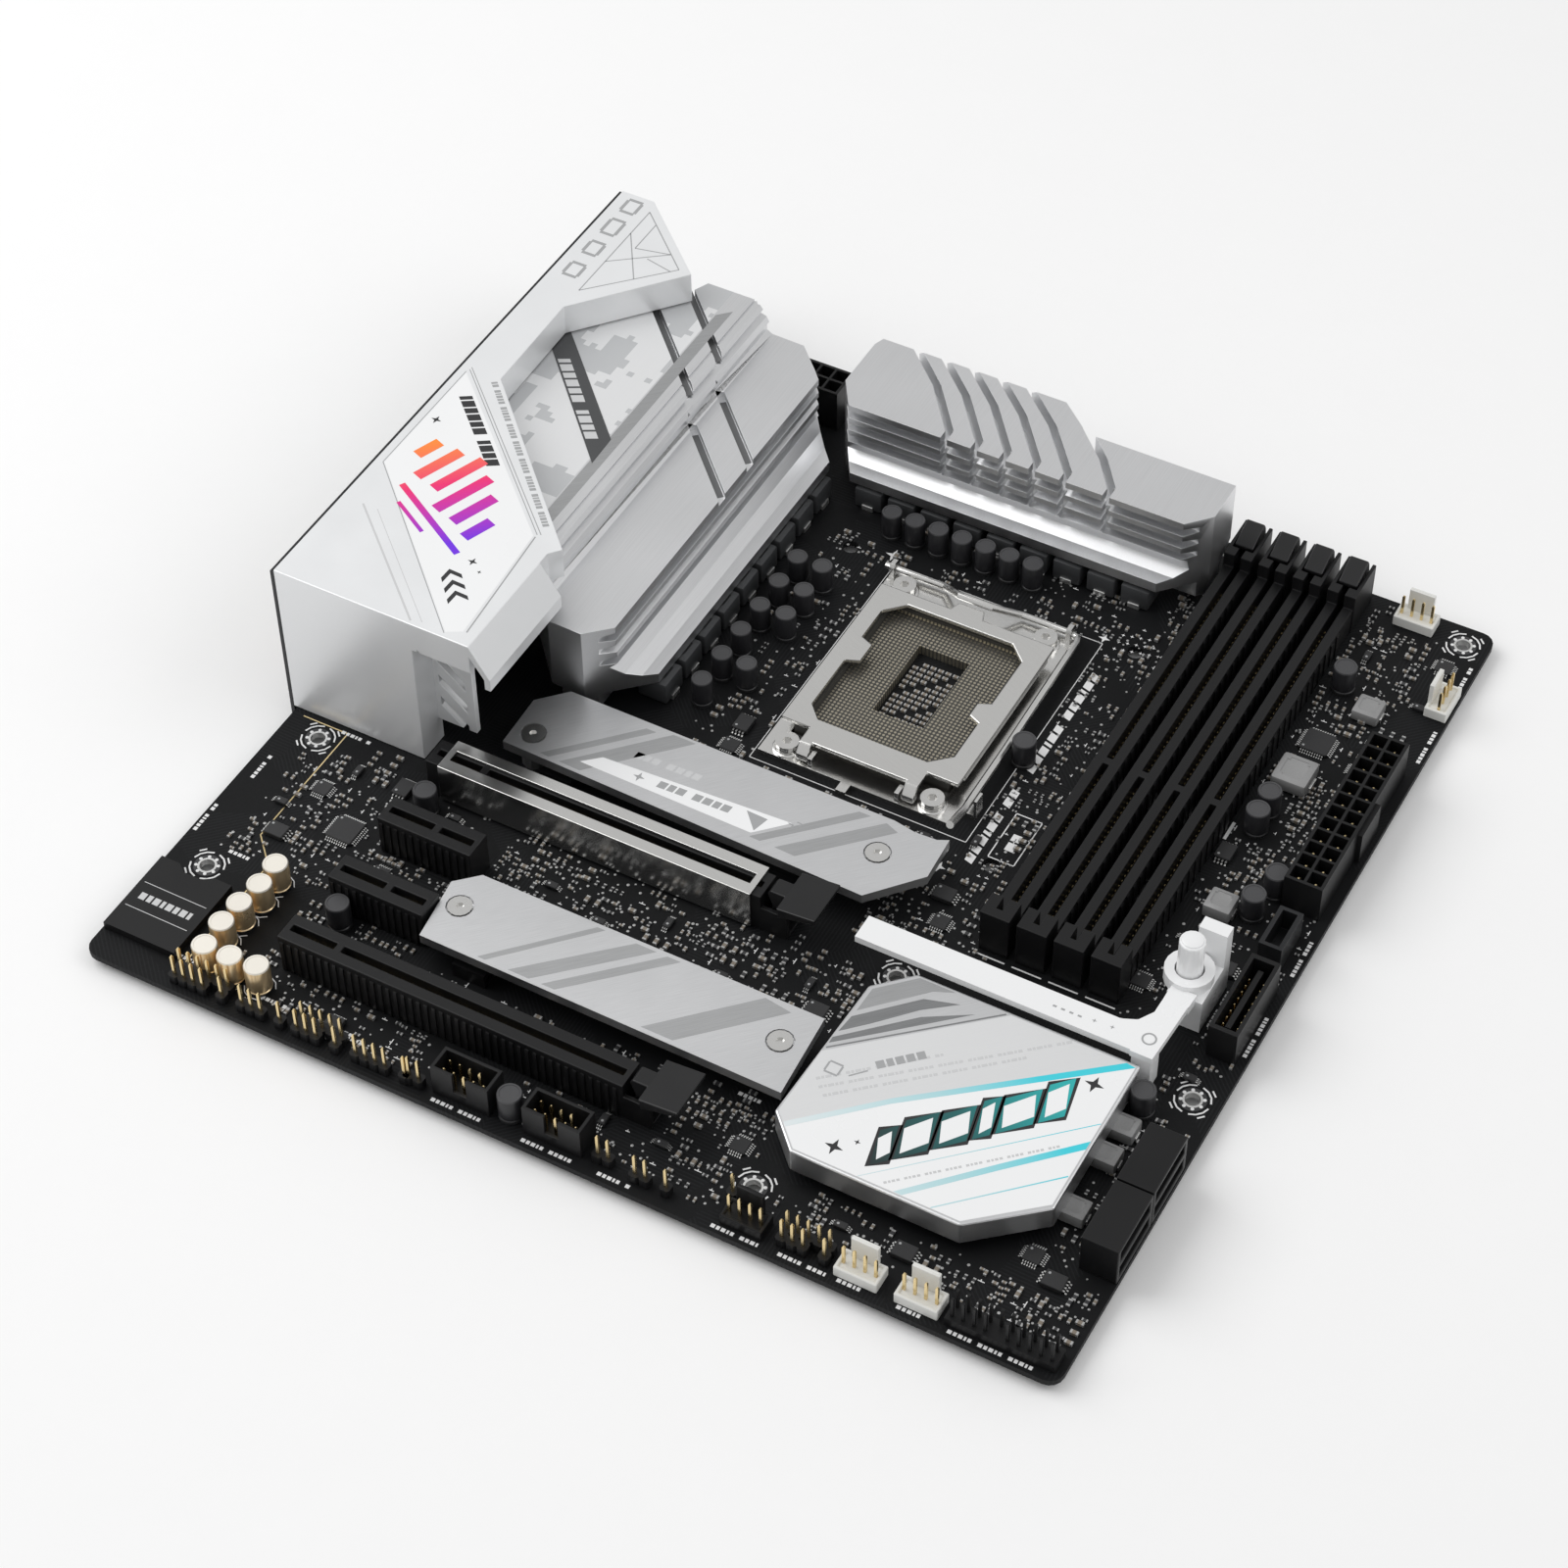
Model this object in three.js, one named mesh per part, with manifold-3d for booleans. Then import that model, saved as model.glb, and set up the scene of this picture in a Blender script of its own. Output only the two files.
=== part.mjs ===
// A micro-ATX computer motherboard, built as separate pieces that are placed on one circuit board.
// Lengths are millimetres. X runs from the rear connectors to the front edge, Y from the slot edge to the
// CPU-power edge, and Z up from the component face of the board.
import * as THREE from 'three';
import { mergeVertices } from 'three/addons/utils/BufferGeometryUtils.js';
import Module from 'manifold-3d';

const wasm = await Module();
wasm.setup();

// Board
const BOARD = 243.84;
const BOARD_THICK = 1.6;
const CORNER_R = 3.5;
const MOUNT_HOLE_R = 1.98;
const MOUNT_HOLES = [
  [10.16, 34.29], [10.16, 80.01], [33.02, 237.49], [165.1, 14.3],
  [165.1, 80.01], [165.1, 237.49], [237.49, 80.01], [237.49, 237.49],
];
const REST_Z = -3.8; // lowest plane: back plate and rear plate both stand on it

// CPU socket
const CPU_X = 129.6;
const CPU_Y = 158.9;
const COOLER_PITCH = 78;
const COOLER_HOLE_R = 2.1;
const SCREW_DX = 19.2;
const SCREW_DY = 29.9;
const LEVER_AXIS = [193.4, 3.2]; // y, z of the load lever's axis

// Memory slots
const DIMM_X = 180.9;
const DIMM_PITCH = 9.1;
const DIMM_Y = [96.3, 241.8];
const DIMM_RAIL_Z = 7.6;
const DIMM_HALF = 3.65;

// Expansion slots
const SLOT_X0 = 42.7;
const SLOT_H = 11;
const SLOT_HALF = 3.75;
const X16_LENGTH = 89;
const X1_LENGTH = 25;
const SLOT_Y = { x16a: 81.6, x1a: 61.2, x1b: 41.0, x16b: 20.8 };

// Rear shroud and plate
const IO_Y0 = 86.3;
const IO_Y1 = 245.05;
const SHROUD_Z = 45;
const SHROUD_SKIN = 1.6;

const group = new THREE.Group();
const board = new THREE.Group();
board.name = 'board_frame';
group.add(board);

// ---- shape helpers ----

function toSolid(geometry) {
  const plain = geometry.clone();
  plain.deleteAttribute('normal');
  plain.deleteAttribute('uv');
  const merged = mergeVertices(plain, 1e-5);
  const mesh = new wasm.Mesh({
    numProp: 3,
    vertProperties: new Float32Array(merged.attributes.position.array),
    triVerts: new Uint32Array(merged.index.array),
  });
  return new wasm.Manifold(mesh);
}

function toGeometry(solid) {
  const mesh = solid.getMesh();
  const geometry = new THREE.BufferGeometry();
  const positions = new Float32Array(mesh.vertProperties);
  geometry.setAttribute('position', new THREE.BufferAttribute(positions, 3));
  geometry.setIndex(new THREE.BufferAttribute(new Uint32Array(mesh.triVerts), 1));
  geometry.computeVertexNormals();
  return geometry;
}

function box(x0, y0, z0, x1, y1, z1) {
  const geometry = new THREE.BoxGeometry(x1 - x0, y1 - y0, z1 - z0);
  geometry.translate((x0 + x1) / 2, (y0 + y1) / 2, (z0 + z1) / 2);
  return toSolid(geometry);
}

function shapeOf(points, holes = []) {
  const shape = new THREE.Shape(points.map(([a, b]) => new THREE.Vector2(a, b)));
  for (const hole of holes) {
    shape.holes.push(new THREE.Path(hole.map(([a, b]) => new THREE.Vector2(a, b))));
  }
  return shape;
}

function prismZ(points, z0, z1, holes = []) {
  const geometry = new THREE.ExtrudeGeometry(shapeOf(points, holes), { depth: z1 - z0, bevelEnabled: false });
  geometry.translate(0, 0, z0);
  return toSolid(geometry);
}

// points are (x, z), swept from y0 to y1
function prismY(points, y0, y1) {
  const geometry = new THREE.ExtrudeGeometry(shapeOf(points), { depth: y1 - y0, bevelEnabled: false });
  geometry.rotateX(Math.PI / 2);
  geometry.translate(0, y1, 0);
  return toSolid(geometry);
}

// points are (y, z), swept from x0 to x1
function prismX(points, x0, x1) {
  const geometry = new THREE.ExtrudeGeometry(shapeOf(points), { depth: x1 - x0, bevelEnabled: false });
  const basis = new THREE.Matrix4().makeBasis(
    new THREE.Vector3(0, 1, 0),
    new THREE.Vector3(0, 0, 1),
    new THREE.Vector3(1, 0, 0),
  );
  geometry.applyMatrix4(basis);
  geometry.translate(x0, 0, 0);
  return toSolid(geometry);
}

function circle(cx, cy, r, count = 16) {
  const points = [];
  for (let i = 0; i < count; i += 1) {
    const angle = (2 * Math.PI * (i + 0.5)) / count;
    points.push([cx + r * Math.cos(angle), cy + r * Math.sin(angle)]);
  }
  return points;
}

function rodZ(x, y, r, z0, z1, count = 16) {
  return prismZ(circle(x, y, r, count), z0, z1);
}

function rodX(y, z, r, x0, x1, count = 12) {
  return prismX(circle(y, z, r, count), x0, x1);
}

function join(...solids) {
  return solids.reduce((sum, next) => sum.add(next));
}

function cut(solid, ...tools) {
  return tools.reduce((rest, tool) => rest.subtract(tool), solid);
}

function finish(color, roughness, metalness) {
  return { color, roughness, metalness };
}

function place(name, solid, look) {
  const mesh = new THREE.Mesh(toGeometry(solid), new THREE.MeshStandardMaterial(look));
  mesh.name = name;
  board.add(mesh);
}

const BLACK_BOARD = finish(0x17181a, 0.6, 0.0);
const BLACK_PLASTIC = finish(0x111214, 0.55, 0.0);
const DARK_METAL = finish(0x2b2d30, 0.5, 0.7);
const SILVER = finish(0xc9cccf, 0.4, 0.85);
const PALE_SHELL = finish(0xe3e6e8, 0.45, 0.2);
const WHITE_PLASTIC = finish(0xeeeff0, 0.4, 0.0);
const STEEL = finish(0xb9bcc0, 0.3, 1.0);
const CONTACT_BED = finish(0x3a3a36, 0.6, 0.3);

// ---- circuit board ----

function roundedSquare(size, r) {
  const points = [];
  const corners = [[size - r, size - r, 0], [r, size - r, 1], [r, r, 2], [size - r, r, 3]];
  for (const [cx, cy, quarter] of corners) {
    for (let i = 0; i <= 4; i += 1) {
      const angle = (quarter + i / 4) * (Math.PI / 2);
      points.push([cx + r * Math.cos(angle), cy + r * Math.sin(angle)]);
    }
  }
  return points;
}

const socketScrews = [];
const coolerHoles = [];
for (const sx of [-1, 1]) {
  for (const sy of [-1, 1]) {
    socketScrews.push([CPU_X + sx * SCREW_DX, CPU_Y + sy * SCREW_DY]);
    coolerHoles.push([CPU_X + (sx * COOLER_PITCH) / 2, CPU_Y + (sy * COOLER_PITCH) / 2]);
  }
}

place('pcb', prismZ(roundedSquare(BOARD, CORNER_R), -BOARD_THICK, 0, [
  ...MOUNT_HOLES.map(([x, y]) => circle(x, y, MOUNT_HOLE_R, 20)),
  ...coolerHoles.map(([x, y]) => circle(x, y, COOLER_HOLE_R, 16)),
  ...socketScrews.map(([x, y]) => circle(x, y, 1.8, 12)),
]), BLACK_BOARD);

// ---- CPU socket ----

function octagon(x0, y0, x1, y1, c) {
  return [
    [x0 + c, y0], [x1 - c, y0], [x1, y0 + c], [x1, y1 - c],
    [x1 - c, y1], [x0 + c, y1], [x0, y1 - c], [x0, y0 + c],
  ];
}

place('cpu_back_plate', prismZ(
  octagon(CPU_X - 26, CPU_Y - 35.5, CPU_X + 26, CPU_Y + 35.5, 6),
  REST_Z,
  -BOARD_THICK,
  [circle(CPU_X, CPU_Y, 9, 12), ...socketScrews.map(([x, y]) => circle(x, y, 1.75, 12))],
), DARK_METAL);

place('cpu_socket', cut(
  box(109.2, 134.6, 0, 150, 183, 4.2),
  box(111, 136.4, 2.6, 148.2, 181.2, 5),
  box(122.8, 148.6, -1, 136.2, 172.9, 5),
), CONTACT_BED);

const frameBase = prismZ([
  [104.4, 125.4], [126.6, 125.4], [126.6, 122.6], [129.2, 122.6], [129.2, 125.4], [155.0, 125.4],
  [155.0, 130.4], [159.5, 130.4], [159.5, 133.6], [155.0, 133.6], [155.0, 195.6], [104.4, 195.6],
], 0, 1.5, [
  [[108.6, 134.0], [150.6, 134.0], [150.6, 183.6], [108.6, 183.6]],
  ...socketScrews.map(([x, y]) => circle(x, y, 1.8, 12)),
]);
function leverLug(x) {
  const lug = prismX([
    [191.9, 1.4], [195.4, 1.4], [195.4, 4.4], [194.4, 5.3], [192.4, 5.3], [191.9, 4.4],
  ], x, x + 1.2);
  return cut(lug, rodX(LEVER_AXIS[0], LEVER_AXIS[1], 1.25, x - 1, x + 3));
}
const hingeEar = (x) => box(x, 125.6, 1.4, x + 1.1, 128.6, 4.6);
place('socket_frame', join(
  frameBase,
  leverLug(104.5),
  leverLug(152.6),
  hingeEar(117.6),
  hingeEar(140.5),
  box(158.8, 130.4, 1.4, 159.5, 133.6, 6.4),
), STEEL);

const plateWindow = [
  [114.6, 136.4], [143.4, 136.4], [148.4, 141.0], [148.4, 153.2], [145.4, 154.6], [145.4, 159.0],
  [148.4, 160.4], [148.4, 176.2], [143.8, 180.6], [115.4, 180.6], [110.8, 176.0], [110.8, 165.8],
  [114.2, 164.4], [114.2, 158.4], [110.8, 157.0], [110.8, 140.4],
];
const plateTop = prismZ([
  [114.0, 129.0], [145.2, 129.0], [145.2, 133.4], [153.2, 133.4], [153.2, 184.4],
  [134.0, 184.4], [133.0, 187.2], [126.2, 187.2], [125.2, 184.4],
  [106.4, 184.4], [106.4, 133.4], [114.0, 133.4],
], 5.2, 6.4, [plateWindow]);
const knuckleProfile = [
  [131.0, 5.2], [131.0, 6.4], [128.2, 6.4], [126.1, 3.9], [126.1, 2.5], [127.1, 2.1], [128.2, 2.6],
  [128.4, 4.4], [129.0, 5.2],
];
place('load_plate', join(
  plateTop,
  prismX(knuckleProfile, 114.0, 117.2),
  prismX(knuckleProfile, 142.0, 145.2),
  box(106.4, 137, 4.0, 107.6, 181, 5.4),
  box(152.0, 137, 4.0, 153.2, 181, 5.4),
), STEEL);

const leverPath = new THREE.CatmullRomCurve3([
  [102.9, 193.4, 3.2], [112, 193.4, 3.2], [120.0, 193.4, 3.2], [122.6, 191.4, 4.8], [125.2, 188.9, 6.9],
  [130, 188.7, 7.1], [134.4, 188.9, 6.9], [136.8, 191.4, 4.8], [139.4, 193.4, 3.2], [146, 193.4, 3.2],
  [153.6, 193.4, 3.2], [155.4, 192.6, 3.3], [156.0, 190.6, 3.5], [156.5, 170, 3.9], [157.0, 150, 4.2],
  [157.2, 134, 4.5], [157.7, 128, 5.6], [158.3, 123, 8.2], [159.0, 117.6, 10.9],
].map(([x, y, z]) => new THREE.Vector3(x, y, z)), false, 'catmullrom', 0.2);
place('load_lever', toSolid(new THREE.ExtrudeGeometry(shapeOf(circle(0, 0, 0.95, 8)), {
  steps: 46,
  bevelEnabled: false,
  extrudePath: leverPath,
})), STEEL);

socketScrews.forEach(([x, y], index) => {
  const head = cut(
    join(rodZ(x, y, 2.9, 1.5, 4.0, 16), rodZ(x, y, 1.5, -3.3, 1.6, 12)),
    rodZ(x, y, 1.2, 2.8, 5, 6),
  );
  place(`socket_screw_${index + 1}`, head, STEEL);
});

// ---- memory slots ----

for (let i = 0; i < 4; i += 1) {
  const x = DIMM_X + i * DIMM_PITCH;
  const [y0, y1] = DIMM_Y;
  const rail = box(x - 3.3, y0, 0, x + 3.3, y1, DIMM_RAIL_Z);
  const nearTower = box(x - DIMM_HALF, y0, 0, x + DIMM_HALF, y0 + 6.4, 12.7);
  const farTower = box(x - DIMM_HALF, 228.6, 0, x + DIMM_HALF, y1, 11.6);
  const slot = cut(
    join(rail, nearTower, farTower),
    box(x - 0.8, y0 + 2.6, 3.0, x + 0.8, 154.6, 20),
    box(x - 0.8, 156.6, 3.0, x + 0.8, 236, 20),
    box(x - 2.7, 234.6, 0.8, x + 2.7, y1 + 1, 20),
    box(x - 2.7, 231.6, 7.6, x + 2.7, 235, 20),
  );
  place(`dimm_slot_${i + 1}`, slot, BLACK_PLASTIC);
  const latch = prismX([
    [236.2, 4.4], [237.6, 2.2], [240.2, 2.2], [241.3, 3.6], [241.0, 9.4], [240.2, 13.0], [239.2, 14.5],
    [232.4, 11.8], [232.4, 10.6], [236.2, 10.2],
  ], x - 2.4, x + 2.4);
  place(`dimm_latch_${i + 1}`, latch, BLACK_PLASTIC);
}

// ---- expansion slots ----

function slotBody(y, length, keyX) {
  const body = box(SLOT_X0, y - SLOT_HALF, 0, SLOT_X0 + length, y + SLOT_HALF, SLOT_H);
  return cut(
    body,
    box(SLOT_X0 + 1.4, y - 0.9, 3.2, keyX - 0.9, y + 0.9, 20),
    box(keyX + 0.9, y - 0.9, 3.2, SLOT_X0 + length - 1.4, y + 0.9, 20),
  );
}

function longSlot(y) {
  const x1 = SLOT_X0 + X16_LENGTH;
  const cheek = (y0) => box(x1 - 0.5, y0, 0, 138.4, y0 + 1.2, 7.4);
  return join(
    slotBody(y, X16_LENGTH, SLOT_X0 + 14),
    cheek(y - SLOT_HALF),
    cheek(y + SLOT_HALF - 1.2),
    box(x1 - 0.5, y - SLOT_HALF, 0, 138.4, y + SLOT_HALF, 0.9),
  );
}

// paddle with a hook that holds the card's tail, turning down and away from the slot
function slotLatch(y) {
  const arm = prismY([
    [133.2, 2.0], [135.6, 1.6], [136.6, 2.8], [136.8, 7.6], [139.0, 10.2], [146.6, 12.2],
    [146.8, 13.6], [138.0, 12.6], [133.4, 12.6], [132.6, 11.4], [133.8, 8.0],
  ], y - 2.2, y + 2.2);
  const paddle = prismY([
    [137.4, 9.6], [139.0, 10.2], [146.6, 12.2], [146.8, 13.6], [137.0, 12.6],
  ], y - 6.2, y + 6.2);
  return join(arm, paddle);
}

place('pcie_slot_long_1', longSlot(SLOT_Y.x16a), BLACK_PLASTIC);
place('pcie_slot_long_2', longSlot(SLOT_Y.x16b), BLACK_PLASTIC);
place('pcie_slot_short_1', slotBody(SLOT_Y.x1a, X1_LENGTH, SLOT_X0 + 14), BLACK_PLASTIC);
place('pcie_slot_short_2', slotBody(SLOT_Y.x1b, X1_LENGTH, SLOT_X0 + 14), BLACK_PLASTIC);
place('slot_latch_1', slotLatch(SLOT_Y.x16a), BLACK_PLASTIC);
place('slot_latch_2', slotLatch(SLOT_Y.x16b), BLACK_PLASTIC);

const shieldY = SLOT_Y.x16a;
place('slot_shield', cut(
  box(46.6, shieldY - 4.6, 0.6, 129.4, shieldY + 4.6, SLOT_H + 0.7),
  box(40, shieldY - SLOT_HALF - 0.05, -1, 140, shieldY + SLOT_HALF + 0.05, SLOT_H + 0.05),
  box(48.2, shieldY - 1.6, 5, 127.8, shieldY + 1.6, 20),
), STEEL);

// ---- M.2 covers, screws and sockets ----

function coverPlate(outline, screws, legZ, holes) {
  const plate = prismZ(outline, 6.6, 9.2);
  const legs = screws.map(([x, y]) => rodZ(x, y, 3.2, legZ, 6.8, 12));
  const bores = screws.map(([x, y]) => rodZ(x, y, 1.5, -1, 20, 12));
  const heads = screws.map(([x, y]) => rodZ(x, y, 3.3, 8.0, 20, 16));
  return cut(join(plate, ...legs), ...bores, ...heads, ...holes);
}

function coverScrew(x, y) {
  const screw = join(rodZ(x, y, 2.9, 8.0, 9.3, 16), rodZ(x, y, 1.25, 0.1, 8.1, 12));
  return cut(screw, rodZ(x, y, 1.0, 8.7, 12, 6));
}

const cover1Screws = [[59.4, 98.5], [147.7, 103.7]];
const cover2Screws = [[72.8, 45.1], [154.6, 45.4]];
place('m2_cover_1', coverPlate([
  [54.4, 93.0], [150.6, 90.6], [161.0, 102.6], [160.4, 114.8], [157.8, 113.5], [152.4, 113.2], [146.6, 114.2],
  [60.2, 114.4], [53.8, 107.8],
], cover1Screws, 0, []), SILVER);
place('m2_cover_2', coverPlate([
  [69.4, 33.6], [161.6, 33.0], [160.2, 55.4], [72.4, 55.4], [67.2, 50.4],
], cover2Screws, 0, []), SILVER);
[...cover1Screws, ...cover2Screws].forEach(([x, y], index) => {
  place(`cover_screw_${index + 1}`, coverScrew(x, y), DARK_METAL);
});

function m2Socket(x, y) {
  return cut(box(x, y - 11, 0, x + 8.4, y + 11, 4.2), box(x + 4.2, y - 10.2, 1.2, x + 9, y + 10.2, 2.4));
}
place('m2_socket_1', m2Socket(64.2, 103.6), BLACK_PLASTIC);
place('m2_socket_2', m2Socket(77.6, 44.4), BLACK_PLASTIC);

// ---- chipset ----

place('chipset_package', join(box(182, 36, 0, 208, 62, 1.0), box(189, 43, 0.9, 201, 55, 1.8)), DARK_METAL);
const chipsetOutline = [
  [172.4, 75.9], [164.4, 67.9], [162.9, 28.0], [170.8, 20.0], [211.2, 20.0], [226.6, 33.2], [226.4, 75.9],
];
place('chipset_heatsink', join(
  prismZ(chipsetOutline, 3.0, 9.7),
  box(186, 40, 1.8, 204, 58, 3.1),
), SILVER);

// ---- slot release: white bar, corner arm and button tower ----

const releaseBar = prismZ([
  [155.8, 77.5], [223.0, 77.5], [223.0, 77.2], [228.3, 77.2], [229.2, 97.0], [223.4, 97.0], [223.2, 89.4],
  [221.0, 85.8], [217.6, 84.3], [155.8, 84.3],
], 9.8, 11.6);
const tower = join(
  box(222.6, 97.4, 0.2, 231.0, 109.6, 10.0),
  rodZ(225.2, 103.2, 5.7, 9.8, 13.0, 20),
  box(224.2, 109.0, 0.2, 231.0, 112.4, 20.5),
  prismZ([[223.3, 94.0], [229.2, 94.0], [229.4, 98.0], [223.3, 98.0]], 9.0, 11.6),
);
place('release_housing', cut(
  join(releaseBar, tower, box(223.4, 77.4, 0.2, 228.0, 82.0, 10)),
  rodZ(225.2, 103.2, 3.4, 4.0, 30, 16),
), WHITE_PLASTIC);
place('release_button', rodZ(225.2, 103.2, 3.0, 7.6, 22.4, 16), WHITE_PLASTIC);

// ---- voltage-regulator heatsinks ----

// fin profile shared by both heatsinks: distance out from the top front edge, and height
function finProfile(top, reach) {
  const fins = [];
  for (let i = 0; i < 3; i += 1) {
    const z = top - 1.9 - i * 3.9;
    fins.push([0, z], [-3.2, z - 0.5], [-3.2, z - 1.9], [0, z - 2.3]);
  }
  return [
    [0, top], ...fins, [-1.4, 15.2], [reach - 6.2, 12.2], [reach - 3.2, 10.5], [reach, 10.0], [reach, 7.1],
    [-3.6, 7.1], [-3.6, 2.4], [-12.4, 2.4], [-12.4, 7.1],
  ];
}

const LEFT_FRONT_X = 68.8;
const LEFT_TIER = 28;
const LEFT_TOP = 36;
const leftProfile = [
  ...finProfile(LEFT_TIER, 7.4).map(([d, z]) => [LEFT_FRONT_X + d, z]),
  [54.2, 7.1], [25, 22], [25, 33.4], [6.0, 33.4], [6.0, LEFT_TOP], [46.8, LEFT_TOP], [47.6, 34.8],
  [46.6, 34.2], [46.6, 33.7], [48.6, 33.1], [49.4, 31.6], [48.7, 31.1], [48.7, 28.9], [50.2, LEFT_TIER],
];
const leftOutline = [
  [4.0, 166.0], [48.0, 122.0], [53.6, 116.4], [62.8, 116.2], [75.9, 128.6], [76.3, 213.2], [66.2, 224.2],
  [59.4, 231.0], [46.0, 231.4], [45.0, 232.6], [31.0, 232.6], [28.0, 226.0], [4.0, 202.0],
];
function diagonalCut(sum, x0, x1, floor, width) {
  const w = width / Math.SQRT2;
  const at = (x) => [x, sum - x];
  const [ax, ay] = at(x0);
  const [bx, by] = at(x1);
  return prismZ([
    [ax - w / 2, ay - w / 2], [bx - w / 2, by - w / 2], [bx + w / 2, by + w / 2], [ax + w / 2, ay + w / 2],
  ], floor, 60);
}
place('heatsink_left', cut(
  prismY(leftProfile, 100, 240).intersect(prismZ(leftOutline, 0, 60)),
  diagonalCut(242.0, 5, 48.6, 34.0, 2.2),
  diagonalCut(256.4, 5, 48.6, 34.0, 2.2),
  diagonalCut(241.2, 49.6, 70, 26.4, 2.2),
  diagonalCut(255.0, 49.6, 70, 26.4, 2.2),
  box(44.5, 100, LEFT_TOP - 0.5, 45.1, 240, LEFT_TOP + 1),
), SILVER);

const TOP_FRONT_Y = 216.5;
const topProfile = [
  ...finProfile(28, 4.3).map(([d, z]) => [TOP_FRONT_Y - d, z]),
  [237.0, 12.0], [245.0, 18.0], [245.0, 25.2], [242.8, 28.0],
];
const topOutline = [
  [74.8, 224.4], [82.6, 212.2], [166.8, 212.2], [176.3, 222.4], [176.3, 234.8], [136.4, 234.8],
  [124.4, 245.0], [76.6, 245.0], [74.8, 240],
];
function curvedCut(backX, backY, frontX) {
  const midX = backX + (frontX - backX) * 0.58;
  const midY = backY + (TOP_FRONT_Y + 3.2 - backY) * 0.5;
  const ends = [[backX, backY], [midX, midY], [frontX, TOP_FRONT_Y + 3.2]];
  const left = ends.map(([x, y]) => [x - 0.9, y - 0.5]);
  const right = ends.map(([x, y]) => [x + 0.9, y + 0.5]).reverse();
  const groove = prismZ([...left, ...right], 22.0, 60);
  return join(groove, box(frontX - 0.9, 208, 14.4, frontX + 0.9, TOP_FRONT_Y + 3.4, 60));
}
place('heatsink_top', cut(
  prismX(topProfile.reverse(), 60, 190).intersect(prismZ(topOutline, 0, 60)),
  curvedCut(81.4, 247.0, 106.3),
  curvedCut(89.2, 247.0, 114.5),
  curvedCut(97.0, 247.0, 122.3),
  curvedCut(104.8, 247.0, 130.3),
  curvedCut(112.8, 247.0, 138.6),
  curvedCut(135.4, 236.8, 150.2),
), SILVER);

// ---- rear shroud ----

const shroudOutline = [
  [-0.9, IO_Y0], [52.0, IO_Y0], [52.0, 120.9], [54.4, 123.7], [10.1, 168.0], [9.5, 198.4], [31.2, 224.2],
  [8.4, 244.9], [-0.9, 244.9],
];
const shroudInset = [
  [0.7, IO_Y0 + 1.6], [50.2, IO_Y0 + 1.6], [50.2, 121.4], [51.6, 123.6], [8.5, 167.2], [7.9, 199.2],
  [28.8, 223.9], [7.7, 243.3], [0.7, 243.3],
];
const frontBevel = prismY([
  [52.0, SHROUD_Z], [57.2, 36.6], [57.2, 33.0], [55.6, 33.0], [55.6, 36.0], [50.4, 44.0], [50.4, SHROUD_Z],
], IO_Y0, 117.6);
const ventSlots = [];
for (let i = 0; i < 4; i += 1) {
  const z = 37.2 - i * 7.2;
  ventSlots.push(prismY([[37.6, z], [44.8, z - 6.6], [44.8, z - 9.4], [37.6, z - 2.8]], 80, 100));
}
place('io_shroud', cut(
  join(
    prismZ(shroudOutline, SHROUD_Z - SHROUD_SKIN, SHROUD_Z),
    cut(prismZ(shroudOutline, 36.4, SHROUD_Z - 1), prismZ(shroudInset, 30, SHROUD_Z - SHROUD_SKIN)),
    box(-0.9, IO_Y0, 0.1, 36.2, IO_Y0 + 1.6, SHROUD_Z - 1),
    box(34.6, IO_Y0, 0.1, 36.2, 95.0, SHROUD_Z - 1),
    box(34.6, 93.4, 7.6, 47.0, 95.0, SHROUD_Z - 1),
    box(-0.9, 243.9, -1.4, 8.4, 244.9, 40),
    frontBevel,
  ),
  ...ventSlots,
), PALE_SHELL);

// ---- rear plate and rear connectors ----

const REAR_X = -0.9;
function portHole(y0, z0, y1, z1) {
  return box(-12, y0 - 0.3, z0 - 0.3, 5, y1 + 0.3, z1 + 0.3);
}
function roundHole(y, z, r) {
  return rodX(y, z, r, -12, 5, 16);
}

const audioJacks = [];
for (const y of [95.6, 107.6]) {
  for (const z of [5.6, 16.6, 27.6]) {
    audioJacks.push([y, z]);
  }
}
const antennaPosts = [[122.5, 12], [131.5, 12]];
const ports = {
  lan: [137, 0, 153.2, 27.6],
  usb_1: [157, 0, 171.6, 31.2],
  usb_2: [175.4, 0, 190, 31.2],
  video: [194, 0, 212, 20.4],
};
place('rear_plate', cut(
  box(REAR_X - 1.0, IO_Y0, REST_Z, REAR_X, IO_Y1, 44.4),
  ...Object.values(ports).map((p) => portHole(...p)),
  ...audioJacks.map(([y, z]) => roundHole(y, z, 4.5)),
  ...antennaPosts.map(([y, z]) => roundHole(y, z, 3.5)),
  roundHole(220, 10, 2.4),
), DARK_METAL);

place('audio_jacks', cut(
  join(
    box(REAR_X, 89.8, 0, 19.4, 113.4, 33.0),
    ...audioJacks.map(([y, z]) => rodX(y, z, 4.2, -4.4, 0, 16)),
  ),
  ...audioJacks.map(([y, z]) => rodX(y, z, 1.9, -8, 8, 12)),
), BLACK_PLASTIC);

place('antenna_module', join(
  box(REAR_X, 118.4, 0, 18, 135.4, 20),
  ...antennaPosts.map(([y, z]) => rodX(y, z, 3.1, -9.4, 0, 16)),
), STEEL);

const lanShell = box(-1.9, ports.lan[0], ports.lan[1], 19.4, ports.lan[2], ports.lan[3]);
place('lan_port', cut(
  lanShell,
  box(-5, 139.1, 14.6, 13, 151.1, 24.4),
  box(-5, 138.6, 2.0, 10, 151.6, 6.2),
  box(-5, 138.6, 8.2, 10, 151.6, 12.4),
), STEEL);

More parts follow.
